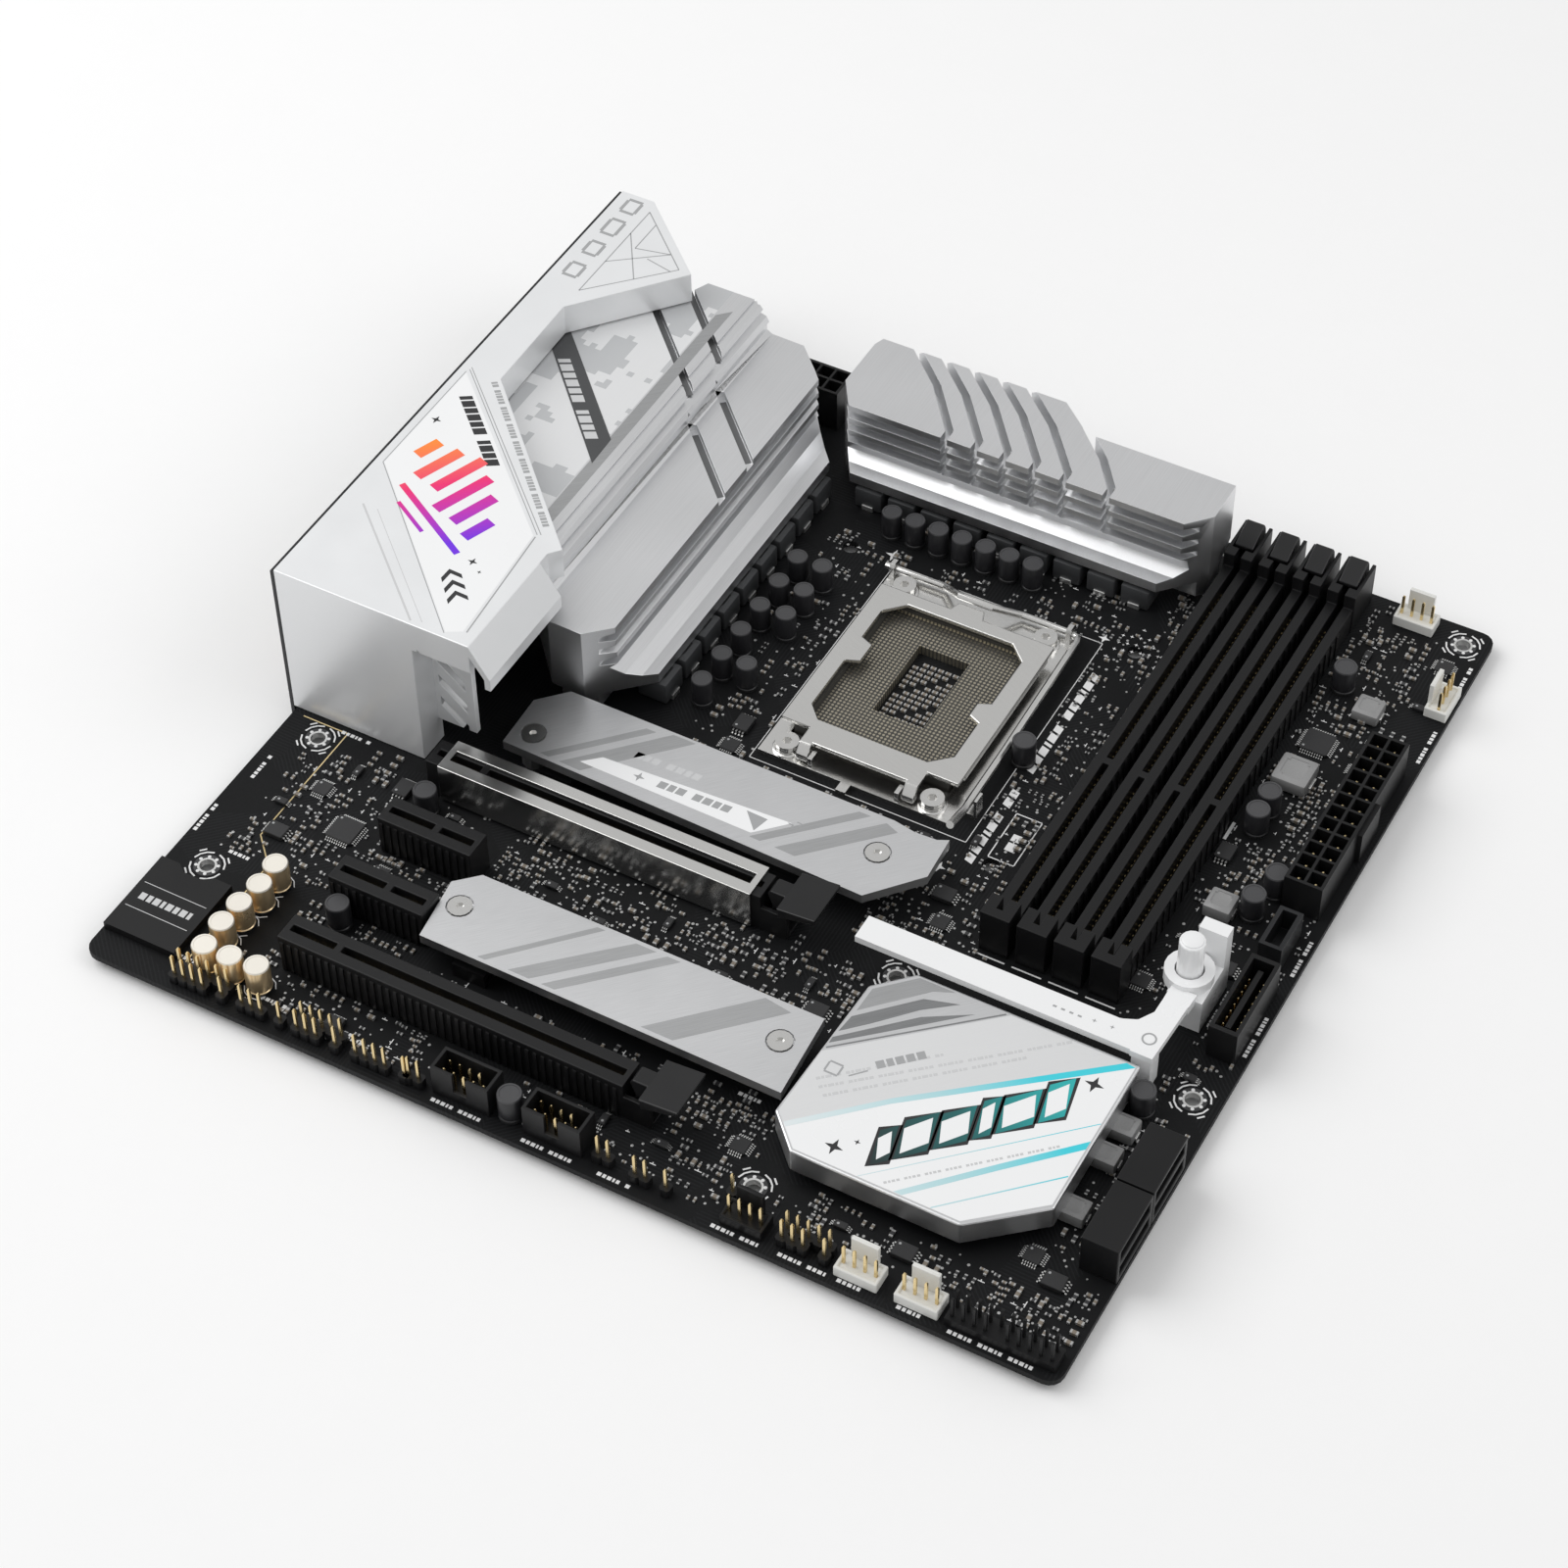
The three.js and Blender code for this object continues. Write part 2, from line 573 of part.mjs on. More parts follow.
function usbStack([y0, z0, y1, z1]) {
  const openings = [];
  for (let i = 0; i < 4; i += 1) {
    openings.push(box(-5, y0 + 0.9, 1.6 + i * 7.6, 10, y1 - 0.9, 6.6 + i * 7.6));
  }
  const tongues = [];
  for (let i = 0; i < 4; i += 1) {
    tongues.push(box(-0.6, y0 + 1.8, 4.2 + i * 7.6, 11, y1 - 1.8, 5.9 + i * 7.6));
  }
  return join(cut(box(-1.9, y0, 0, 18.4, y1, z1), ...openings), ...tongues);
}
place('usb_stack_1', usbStack(ports.usb_1), STEEL);
place('usb_stack_2', usbStack(ports.usb_2), STEEL);

place('video_ports', join(
  cut(
    box(-1.9, 194, 0, 18.4, 212, 20.4),
    box(-5, 195.4, 2.4, 8, 210.6, 7.6),
    box(-5, 195.4, 12.4, 8, 210.6, 17.4),
  ),
  box(-0.6, 197.2, 4.3, 9, 208.8, 5.7),
  box(-0.6, 197.2, 14.2, 9, 208.8, 15.6),
), STEEL);

place('flash_switch', cut(box(0.2, 216, 0, 8.6, 224, 14.2), rodX(220, 10, 2.4, -1, 2.6, 16)), BLACK_PLASTIC);
place('flash_button', rodX(220, 10, 2.0, -3.2, 0.4, 16), DARK_METAL);

// ---- power connectors ----

function powerHeader(x0, y0, columns, rows, height) {
  const pitch = 4.2;
  const width = columns * pitch + 0.9;
  const depth = rows * pitch + 0.9;
  const sockets = [];
  for (let i = 0; i < columns; i += 1) {
    for (let j = 0; j < rows; j += 1) {
      const cx = x0 + 0.45 + (i + 0.5) * pitch;
      const cy = y0 + 0.45 + (j + 0.5) * pitch;
      sockets.push(box(cx - 1.75, cy - 1.75, 2.4, cx + 1.75, cy + 1.75, 20));
    }
  }
  return cut(box(x0, y0, 0, x0 + width, y0 + depth, height), ...sockets);
}
place('power_main', join(
  powerHeader(232.0, 139.8, 2, 12, 10.4),
  box(241.2, 160.4, 0, 242.5, 171.4, 9.0),
), BLACK_PLASTIC);
place('power_cpu', join(
  powerHeader(49.4, 234.2, 4, 2, 12.4),
  box(55.6, 243.4, 0, 60.6, 244.6, 10.0),
), BLACK_PLASTIC);

// ---- front-edge connectors ----

place('usb_c_header', cut(
  box(233.9, 121.6, 0, 239.6, 134.0, 7.6),
  box(235.0, 122.6, 1.5, 238.5, 133.0, 9),
), STEEL);
place('usb3_header', join(
  cut(box(234.6, 92.7, 0, 241.6, 116.2, 10.0), box(235.6, 93.9, 1.6, 240.6, 115.0, 12)),
  box(237.4, 95.4, 1.5, 238.8, 113.6, 8.4),
), BLACK_PLASTIC);

function driveBlock(y0) {
  const openings = [];
  for (const z of [1.4, 6.6]) {
    openings.push(box(236.6, y0 + 1.2, z, 250, y0 + 15.6, z + 3.6));
  }
  const tongues = [];
  for (const z of [2.5, 7.7]) {
    tongues.push(box(236.2, y0 + 2.6, z, 243.0, y0 + 14.2, z + 1.2));
  }
  return join(cut(box(234.9, y0, 0, 243.7, y0 + 16.8, 11.3), ...openings), ...tongues);
}
place('drive_block_1', driveBlock(28.2), BLACK_PLASTIC);
place('drive_block_2', driveBlock(45.4), BLACK_PLASTIC);

// ---- slot-edge headers ----

function boxedHeader(x0, y0) {
  return cut(
    box(x0, y0, 0, x0 + 14.6, y0 + 6.6, 8.8),
    box(x0 + 0.8, y0 + 0.8, 1.6, x0 + 13.8, y0 + 5.8, 12),
    box(x0 + 5.6, y0 - 1, 3.2, x0 + 9.0, y0 + 1, 12),
  );
}
place('usb2_header_1', boxedHeader(91.3, 3.4), BLACK_PLASTIC);
place('usb2_header_2', boxedHeader(114.5, 3.3), BLACK_PLASTIC);

// plastic strip with square posts standing in it
function pinStrip(x0, y0, columns, rows, missing) {
  const pitch = 2.54;
  let strip = box(x0, y0, 0, x0 + columns * pitch, y0 + rows * pitch, 2.5);
  for (let i = 0; i < columns; i += 1) {
    for (let j = 0; j < rows; j += 1) {
      if (!missing.some(([a, b]) => a === i && b === j)) {
        const cx = x0 + (i + 0.5) * pitch;
        const cy = y0 + (j + 0.5) * pitch;
        strip = strip.add(box(cx - 0.32, cy - 0.32, 2.4, cx + 0.32, cy + 0.32, 8.4));
      }
    }
  }
  return strip;
}
place('front_panel_header', pinStrip(216.6, 2.4, 10, 2, [[4, 0]]), BLACK_PLASTIC);

// ---- audio cover ----

place('audio_cover', prismZ([
  [0.6, 7.6], [20.0, 7.6], [20.0, 30.4], [15.4, 30.4], [12.6, 28.6], [8.0, 28.6], [5.6, 30.4], [0.6, 30.4],
], 0, 2.2), BLACK_PLASTIC);

// The row frame has its origin at the centre of the box's base.
const REAR_MOST = -9.4;
board.position.set(-(REAR_MOST + BOARD) / 2, -IO_Y1 / 2, -REST_Z);

export default group;
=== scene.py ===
"""Looks of a micro-ATX motherboard: finishes for its solid parts, and the small parts on the board.

Lengths inside the functions are millimetres. Board places are measured from the board's rear slot corner:
x runs to the front edge, y to the processor-power edge, and z up from the component face.
"""

import math
import random

import bpy
from mathutils import Euler, Matrix, Vector


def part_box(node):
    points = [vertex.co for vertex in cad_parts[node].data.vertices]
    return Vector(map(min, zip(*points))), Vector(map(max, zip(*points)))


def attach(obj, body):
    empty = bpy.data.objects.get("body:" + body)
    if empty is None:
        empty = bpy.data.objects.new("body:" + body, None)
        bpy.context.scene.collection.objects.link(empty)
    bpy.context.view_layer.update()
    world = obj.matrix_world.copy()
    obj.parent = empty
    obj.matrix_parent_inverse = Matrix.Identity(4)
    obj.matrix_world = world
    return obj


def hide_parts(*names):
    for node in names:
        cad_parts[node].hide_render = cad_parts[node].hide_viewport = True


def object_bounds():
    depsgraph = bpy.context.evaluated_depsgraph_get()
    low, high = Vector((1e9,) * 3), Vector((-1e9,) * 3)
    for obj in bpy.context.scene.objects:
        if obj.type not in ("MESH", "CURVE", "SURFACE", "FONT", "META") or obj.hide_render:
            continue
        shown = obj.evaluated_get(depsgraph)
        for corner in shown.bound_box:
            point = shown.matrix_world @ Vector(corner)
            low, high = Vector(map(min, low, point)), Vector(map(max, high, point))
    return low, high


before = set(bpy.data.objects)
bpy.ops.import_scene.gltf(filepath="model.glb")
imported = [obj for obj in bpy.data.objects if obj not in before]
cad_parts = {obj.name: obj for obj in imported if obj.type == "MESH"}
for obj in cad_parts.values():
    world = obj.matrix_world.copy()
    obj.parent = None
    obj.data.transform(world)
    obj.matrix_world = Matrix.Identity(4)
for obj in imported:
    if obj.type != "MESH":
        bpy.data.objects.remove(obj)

bl_info = {
    "name": "Motherboard looks",
    "version": (1, 0, 0),
    "blender": (4, 5, 0),
    "location": "3D View > Sidebar > Board",
    "description": "Finishes and small parts of a computer motherboard",
    "category": "Object",
}

MM = 0.001
CAD_LOW, CAD_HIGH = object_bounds()
PCB_LOW, PCB_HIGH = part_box("pcb")
ORIGIN = Vector((PCB_LOW.x, PCB_LOW.y, PCB_HIGH.z))
BOARD_SIDE = (PCB_HIGH.x - PCB_LOW.x) / MM
SINK = 0.02  # how far a print reaches into the face below it


def at(x, y, z=0.0):
    """A board place as a point of the frame, in metres."""
    return ORIGIN + Vector((x, y, z)) * MM


def plan(node):
    """The rectangle that a solid part covers on the board."""
    low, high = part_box(node)
    return [(low.x - ORIGIN.x) / MM, (low.y - ORIGIN.y) / MM, (high.x - ORIGIN.x) / MM,
            (high.y - ORIGIN.y) / MM]


def top_of(node):
    """Height of a solid part's top over the board."""
    return (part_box(node)[1].z - ORIGIN.z) / MM


# ---- modelling helpers ----

def clear_selection():
    for piece in bpy.context.selected_objects:
        piece.select_set(False)


def take(name):
    """Names the primitive that was just added and puts its place into its mesh."""
    piece = bpy.context.object
    piece.name = name
    bpy.ops.object.transform_apply(location=True, rotation=True, scale=True)
    return piece


def make_active(piece):
    clear_selection()
    piece.select_set(True)
    bpy.context.view_layer.objects.active = piece


def start_block(name, low, high):
    """A box between two corners, ready to be shaped."""
    clear_selection()
    low, high = Vector(low), Vector(high)
    bpy.ops.mesh.primitive_cube_add(size=1, location=(low + high) / 2 * MM)
    bpy.context.object.scale = (high - low) * MM
    return take(name)


def edit_all():
    bpy.ops.object.mode_set(mode="EDIT")
    bpy.ops.mesh.select_all(action="SELECT")


def leave_edit():
    """Turns every face outwards and goes back to object mode."""
    bpy.ops.mesh.select_all(action="SELECT")
    bpy.ops.mesh.normals_make_consistent(inside=False)
    bpy.ops.object.mode_set(mode="OBJECT")


def start_outline(name, points, bottom, top):
    """A flat outline raised from bottom to top."""
    clear_selection()
    bpy.ops.mesh.primitive_circle_add(vertices=len(points), fill_type="NGON")
    piece = take(name)
    for corner, (x, y) in zip(piece.data.vertices, points):
        corner.co = Vector((x, y, bottom)) * MM
    edit_all()
    bpy.ops.mesh.extrude_region_move(TRANSFORM_OT_translate={"value": (0, 0, (top - bottom) * MM)})
    leave_edit()
    return piece


def turned(name, profile, sides=20, closed=False):
    """A round piece about the z axis. The profile is (radius, height), from the foot up.
    A closed profile is a ring, whose last point joins the first."""
    clear_selection()
    radius, height = profile[0]
    bpy.ops.mesh.primitive_circle_add(
        vertices=sides, radius=radius * MM, location=(0, 0, height * MM),
        fill_type="NOTHING" if closed else "NGON")
    piece = take(name)
    bpy.ops.object.mode_set(mode="EDIT")
    bpy.ops.mesh.select_mode(type="VERT")
    bpy.ops.mesh.select_all(action="SELECT")
    steps = profile[1:] + profile[:1] if closed else profile[1:]
    for next_radius, next_height in steps:
        bpy.ops.mesh.extrude_region_move(
            TRANSFORM_OT_translate={"value": (0, 0, (next_height - height) * MM)})
        ratio = next_radius / radius
        bpy.ops.transform.resize(value=(ratio, ratio, 1), center_override=(0, 0, next_height * MM))
        radius, height = next_radius, next_height
    if closed:
        bpy.ops.mesh.select_all(action="SELECT")
        bpy.ops.mesh.remove_doubles(threshold=0.001 * MM)
    leave_edit()
    return piece


def pick_faces(piece, test):
    """Edit mode, with only the faces selected whose centre (in millimetres) and normal pass the test."""
    make_active(piece)
    bpy.ops.object.mode_set(mode="EDIT")
    bpy.ops.mesh.select_mode(type="FACE")
    bpy.ops.mesh.select_all(action="DESELECT")
    bpy.ops.object.mode_set(mode="OBJECT")
    for face in piece.data.polygons:
        face.select = bool(test(face.center / MM, face.normal))
    bpy.ops.object.mode_set(mode="EDIT")


def inset(thickness, depth=0.0):
    bpy.ops.mesh.inset(thickness=thickness * MM, depth=depth * MM)


def extrude(x, y, z):
    bpy.ops.mesh.extrude_region_move(TRANSFORM_OT_translate={"value": (x * MM, y * MM, z * MM)})


def paint_faces(piece, index, test):
    """Gives the faces that pass the test the finish of that number."""
    for face in piece.data.polygons:
        if test(face.center / MM, face.normal):
            face.material_index = index


def round_edges(piece, width, segments=2):
    """Bevels the sharp edges of a piece for good."""
    make_active(piece)
    bevel = piece.modifiers.new("Edges", "BEVEL")
    bevel.width = width * MM
    bevel.segments = segments
    bevel.limit_method = "ANGLE"
    bevel.angle_limit = math.radians(32)
    bpy.ops.object.modifier_apply(modifier=bevel.name)


def wear_finish(piece, finishes):
    piece.data.materials.clear()
    for finish in finishes:
        piece.data.materials.append(LOOKS[finish])


def complete(piece, body="board"):
    """Smooths a finished piece, and lets it ride on a body."""
    make_active(piece)
    bpy.ops.object.shade_smooth_by_angle(angle=math.radians(35))
    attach(piece, body)
    return piece


def copy_to(pattern, name, place):
    """An own copy of a pattern; the place is x, y, z, turn in degrees and scale."""
    x, y, z, turn, scale = place
    twin = pattern.copy()
    twin.data = pattern.data.copy()
    twin.name = name
    sizes = Vector(scale) if isinstance(scale, tuple) else Vector((scale,) * 3)
    twin.data.transform(Matrix.LocRotScale(at(x, y, z), Euler((0, 0, math.radians(turn))), sizes))
    bpy.context.scene.collection.objects.link(twin)
    return twin


def drop(pattern):
    bpy.data.objects.remove(pattern, do_unlink=True)


def join_pieces(name, pieces):
    clear_selection()
    for piece in pieces:
        piece.select_set(True)
    bpy.context.view_layer.objects.active = pieces[0]
    if len(pieces) > 1:
        bpy.ops.object.join()
    pieces[0].name = name
    return pieces[0]


def joined_copies(name, pattern, places, body="board"):
    """Copies of a pattern joined into one piece, for what stands in rows or fields."""
    piece = join_pieces(name, [copy_to(pattern, name + "_part", place) for place in places])
    drop(pattern)
    return complete(piece, body)


def separate_copies(name, pattern, places, body="board"):
    """Copies of a pattern that stay pieces of their own."""
    for number, place in enumerate(places, 1):
        complete(copy_to(pattern, f"{name}_{number}", place), body)
    drop(pattern)


def here(x, y, z=0.0, turn=0.0, scale=1.0):
    return (x, y, z, turn, scale)


# ---- outlines ----

def strip(a, b, width):
    """Outline of a straight line of that width."""
    along = Vector((b[0] - a[0], b[1] - a[1])).normalized()
    side = Vector((-along.y, along.x)) * width / 2
    return [(a[0] - side.x, a[1] - side.y), (b[0] - side.x, b[1] - side.y),
            (b[0] + side.x, b[1] + side.y), (a[0] + side.x, a[1] + side.y)]


def rectangle(x0, y0, x1, y1):
    return [(x0, y0), (x1, y0), (x1, y1), (x0, y1)]


def frame_strips(x0, y0, x1, y1, width):
    """Four lines round a rectangle."""
    inner = width / 2
    return [strip((x0, y0), (x1, y0), width), strip((x0, y1), (x1, y1), width),
            strip((x0, y0 + inner), (x0, y1 - inner), width),
            strip((x1, y0 + inner), (x1, y1 - inner), width)]


def arc_strips(x, y, radius, starts, sweep, width, steps=3):
    """Short lines along arcs of a circle, one arc for each start angle in degrees."""
    pieces = []
    for start in starts:
        for step in range(steps):
            a, b = (math.radians(start + sweep * (step + end) / steps) for end in (0, 1))
            pieces.append(strip((x + radius * math.cos(a), y + radius * math.sin(a)),
                                (x + radius * math.cos(b), y + radius * math.sin(b)), width))
    return pieces


def tick_row(a, b, height, rhythm, gap, lean=0.0):
    """A row of upright blocks from a to b, in place of a line of small print.
    Rhythm lists their lengths."""
    start, end = Vector(a), Vector(b)
    along = (end - start).normalized()
    up = Vector((-along.y, along.x)) * height
    slant = along * lean
    blocks, place, number = [], 0.0, 0
    while place + rhythm[number % len(rhythm)] < (end - start).length:
        length = rhythm[number % len(rhythm)]
        if length > 0:
            p, q = start + along * place, start + along * (place + length)
            blocks.append([tuple(p), tuple(q), tuple(q + up + slant), tuple(p + up + slant)])
        place += abs(length) + gap
        number += 1
    return blocks


def diamond(x, y, reach):
    """A four-pointed star."""
    points = []
    for step in range(8):
        r = reach if step % 2 == 0 else reach * 0.34
        angle = math.radians(45 * step)
        points.append((x + r * math.cos(angle), y + r * math.sin(angle)))
    return points


def chevron(x, y, reach, width, turn):
    """An arrow head of two arms."""
    shape = [(0, -reach), (width, -reach), (reach + width, 0), (width, reach), (0, reach), (reach, 0)]
    c, s = math.cos(math.radians(turn)), math.sin(math.radians(turn))
    return [(x + a * c - b * s, y + a * s + b * c) for a, b in shape]


def raised_pattern(corners):
    """A raised face with that many corners, whose corners are then put where an outline has them."""
    return start_outline("outline_pattern", circle_points(corners), 0, 1)


def circle_points(count):
    return [(math.cos(2 * math.pi * i / count), math.sin(2 * math.pi * i / count)) for i in range(count)]


def turns_left(outline):
    """True where an outline runs anticlockwise."""
    return sum(a[0] * b[1] - b[0] * a[1] for a, b in zip(outline, outline[1:] + outline[:1])) > 0


def print_on(name, outlines, surface, finish, thick=0.03, body="board"):
    """Printed shapes: thin solids that stand a little proud of a face. They are joined into one piece."""
    patterns = {count: raised_pattern(count) for count in sorted({len(outline) for outline in outlines})}
    parts = []
    for outline in outlines:
        corners = outline if turns_left(outline) else outline[::-1]
        part = copy_to(patterns[len(corners)], name + "_part", here(0, 0))
        for vertex in part.data.vertices:
            rest = patterns[len(corners)].data.vertices[vertex.index].co / MM
            number = round(math.atan2(rest.y, rest.x) / (2 * math.pi / len(corners))) % len(corners)
            vertex.co = at(*corners[number], surface - SINK if rest.z < 0.5 else surface + thick)
        parts.append(part)
    for pattern in patterns.values():
        drop(pattern)
    piece = join_pieces(name, parts)
    wear_finish(piece, [finish])
    return complete(piece, body)


# ---- shader groups ----

def add_node(tree, kind, inputs=None, **settings):
    """A node with its settings, and its inputs either linked or set."""
    node = tree.nodes.new(kind)
    for key, value in settings.items():
        setattr(node, key, value)
    for socket, value in (inputs or {}).items():
        if isinstance(value, bpy.types.NodeSocket):
            tree.links.new(value, node.inputs[socket])
        else:
            node.inputs[socket].default_value = value
    return node


def new_group(name, inputs, outputs):
    group = bpy.data.node_groups.new(name, "ShaderNodeTree")
    for label, value in inputs.items():
        group.interface.new_socket(label, in_out="INPUT", socket_type="NodeSocketFloat").default_value = value
    for label in outputs:
        group.interface.new_socket(label, in_out="OUTPUT", socket_type="NodeSocketFloat")
    return group, group.nodes.new("NodeGroupInput").outputs, group.nodes.new("NodeGroupOutput")


def maths(tree, operation, a, b=0.0, c=0.0):
    return add_node(tree, "ShaderNodeMath", {0: a, 1: b, 2: c}, operation=operation).outputs[0]


def object_place(tree):
    return add_node(tree, "ShaderNodeTexCoord").outputs["Object"]


def smooth_range(tree, value, low, high, out_low=0.0, out_high=1.0):
    return add_node(tree, "ShaderNodeMapRange",
                    {0: value, 1: low, 2: high, 3: out_low, 4: out_high}).outputs[0]


def grain_group():
    """Fine grain of a moulded or painted face, with slow clouds of wear and a height for bump."""
    tree, given, out = new_group("Surface grain", {"Grain size": 4000.0, "Cloud size": 60.0},
                                 ["Grain", "Cloud", "Height"])
    place = object_place(tree)
    fine = add_node(tree, "ShaderNodeTexNoise",
                    {"Vector": place, "Scale": given["Grain size"], "Detail": 3.0})
    cloud = add_node(tree, "ShaderNodeTexNoise",
                     {"Vector": place, "Scale": given["Cloud size"], "Detail": 5.0})
    tree.links.new(fine.outputs[0], out.inputs["Grain"])
    tree.links.new(cloud.outputs[0], out.inputs["Cloud"])
    tree.links.new(maths(tree, "MULTIPLY_ADD", fine.outputs[0], 0.7,
                         maths(tree, "MULTIPLY", cloud.outputs[0], 0.3)),
                   out.inputs["Height"])
    return tree


def brushed_group():
    """Long fine lines that run at an angle, as brushing leaves on metal."""
    tree, given, out = new_group(
        "Brushed lines", {"Angle": 0.0, "Across": 9000.0, "Along": 160.0}, ["Lines", "Height"])
    turned_place = add_node(tree, "ShaderNodeVectorRotate",
                            {"Vector": object_place(tree), "Angle": given["Angle"]},
                            rotation_type="Z_AXIS")
    parts = add_node(tree, "ShaderNodeSeparateXYZ", {0: turned_place.outputs[0]})
    stretched = add_node(tree, "ShaderNodeCombineXYZ", {
        0: maths(tree, "MULTIPLY", parts.outputs[0], given["Along"]),
        1: maths(tree, "MULTIPLY", parts.outputs[1], given["Across"]),
        2: maths(tree, "MULTIPLY", parts.outputs[2], given["Across"])})
    lines = add_node(tree, "ShaderNodeTexNoise",
                     {"Vector": stretched.outputs[0], "Scale": 1.0, "Detail": 2.0})
    tree.links.new(lines.outputs[0], out.inputs["Lines"])
    tree.links.new(lines.outputs[0], out.inputs["Height"])
    return tree


def window_group():
    """One inside a range of a value, and nought outside it."""
    tree, given, out = new_group("Range window", {"Value": 0.0, "Low": 0.0, "High": 1.0}, ["Mask"])
    above = maths(tree, "GREATER_THAN", given["Value"], given["Low"])
    below = maths(tree, "LESS_THAN", given["Value"], given["High"])
    tree.links.new(maths(tree, "MULTIPLY", above, below), out.inputs["Mask"])
    return tree


def blocks_group():
    """Squared-off cloud pattern of small blocks."""
    tree, given, out = new_group("Block pattern", {"Block": 0.0016, "Spread": 110.0, "Cover": 0.5}, ["Mask"])
    parts = add_node(tree, "ShaderNodeSeparateXYZ", {0: object_place(tree)})
    snapped = [maths(tree, "SNAP", parts.outputs[axis], given["Block"]) for axis in (0, 1)]
    flat = add_node(tree, "ShaderNodeCombineXYZ", {0: snapped[0], 1: snapped[1]})
    cloud = add_node(tree, "ShaderNodeTexNoise",
                     {"Vector": flat.outputs[0], "Scale": given["Spread"], "Detail": 2.0})
    tree.links.new(maths(tree, "GREATER_THAN", cloud.outputs[0], given["Cover"]), out.inputs["Mask"])
    return tree


def dots_group():
    """A square grid of round dots on the board plan."""
    tree, given, out = new_group("Dot grid", {"Pitch": 0.001, "Radius": 0.3}, ["Mask"])
    parts = add_node(tree, "ShaderNodeSeparateXYZ", {0: object_place(tree)})
    offsets = []
    for axis in (0, 1):
        cell = maths(tree, "FRACT", maths(tree, "DIVIDE", parts.outputs[axis], given["Pitch"]))
        offsets.append(maths(tree, "POWER", maths(tree, "ABSOLUTE", maths(tree, "SUBTRACT", cell, 0.5)), 2.0))
    reach = maths(tree, "SQRT", maths(tree, "ADD", offsets[0], offsets[1]))
    tree.links.new(maths(tree, "LESS_THAN", reach, given["Radius"]), out.inputs["Mask"])
    return tree


def tracks_group():
    """Copper tracks under the mask: bundles of fine lines that change direction from patch to patch."""
    tree, given, out = new_group("Tracks", {"Pitch": 0.0009, "Patch size": 70.0}, ["Mask"])
    place = object_place(tree)
    patches = add_node(tree, "ShaderNodeTexVoronoi", {"Vector": place, "Scale": given["Patch size"]},
                       voronoi_dimensions="2D")
    pick = add_node(tree, "ShaderNodeSeparateColor", {0: patches.outputs["Color"]})
    quarter = maths(tree, "MULTIPLY", maths(tree, "FLOOR",
                                            maths(tree, "MULTIPLY", pick.outputs[0], 3.99)), math.pi / 4)
    turned_place = add_node(tree, "ShaderNodeVectorRotate", {"Vector": place, "Angle": quarter},
                            rotation_type="Z_AXIS")
    parts = add_node(tree, "ShaderNodeSeparateXYZ", {0: turned_place.outputs[0]})
    cell = maths(tree, "FRACT", maths(tree, "DIVIDE", parts.outputs[0], given["Pitch"]))
    line = maths(tree, "LESS_THAN", cell, 0.34)
    shown = maths(tree, "GREATER_THAN", pick.outputs[1], 0.45)
    tree.links.new(maths(tree, "MULTIPLY", line, shown), out.inputs["Mask"])
    return tree


# ---- finishes ----

LOOKS = {}
GROUPS = {}


def use_group(tree, name, inputs):
    node = add_node(tree, "ShaderNodeGroup", node_tree=GROUPS[name])
    for socket, value in inputs.items():
        if isinstance(value, bpy.types.NodeSocket):
            tree.links.new(value, node.inputs[socket])
        else:
            node.inputs[socket].default_value = value
    return node.outputs


def shade(color, factor):
    return tuple(min(1.0, part * factor) for part in color[:3]) + (1.0,)


def blend_colors(tree, factor, low, high):
    """Colour between low and high; each is a colour or a colour socket."""
    return add_node(tree, "ShaderNodeMix", {0: factor, 6: low, 7: high}, data_type="RGBA").outputs[2]


def new_finish(name, rough, metal, spec=0.5):
    material = bpy.data.materials.new(name)
    material.use_nodes = True
    tree = material.node_tree
    shader = tree.nodes["Principled BSDF"]
    shader.inputs["Roughness"].default_value = rough
    shader.inputs["Metallic"].default_value = metal
    shader.inputs["Specular IOR Level"].default_value = spec
    LOOKS[name] = material
    return tree, shader


def bump_from(tree, shader, height, depth):
    bump = add_node(tree, "ShaderNodeBump", {"Height": height, "Strength": 1.0, "Distance": depth * MM})
    tree.links.new(bump.outputs[0], shader.inputs["Normal"])


def grained(name, color, rough, metal=0.0, grain=4000.0, depth=0.01, vary=0.12, spec=0.5, coat=0.0):
    """A moulded, painted or plated finish with grain, cloudy wear and a rough and shiny mix."""
    tree, shader = new_finish(name, rough, metal, spec)
    shader.inputs["Coat Weight"].default_value = coat
    surface = use_group(tree, "Surface grain", {"Grain size": grain})
    mix = maths(tree, "MULTIPLY_ADD", surface["Grain"], 0.4, maths(tree, "MULTIPLY", surface["Cloud"], 0.6))
    tree.links.new(blend_colors(tree, mix, shade(color, 1 - vary), shade(color, 1 + vary)),
                   shader.inputs["Base Color"])
    tree.links.new(smooth_range(tree, surface["Cloud"], 0.3, 0.7, rough * 0.85, min(1.0, rough * 1.15)),
                   shader.inputs["Roughness"])
    bump_from(tree, shader, surface["Height"], depth)
    return tree, shader


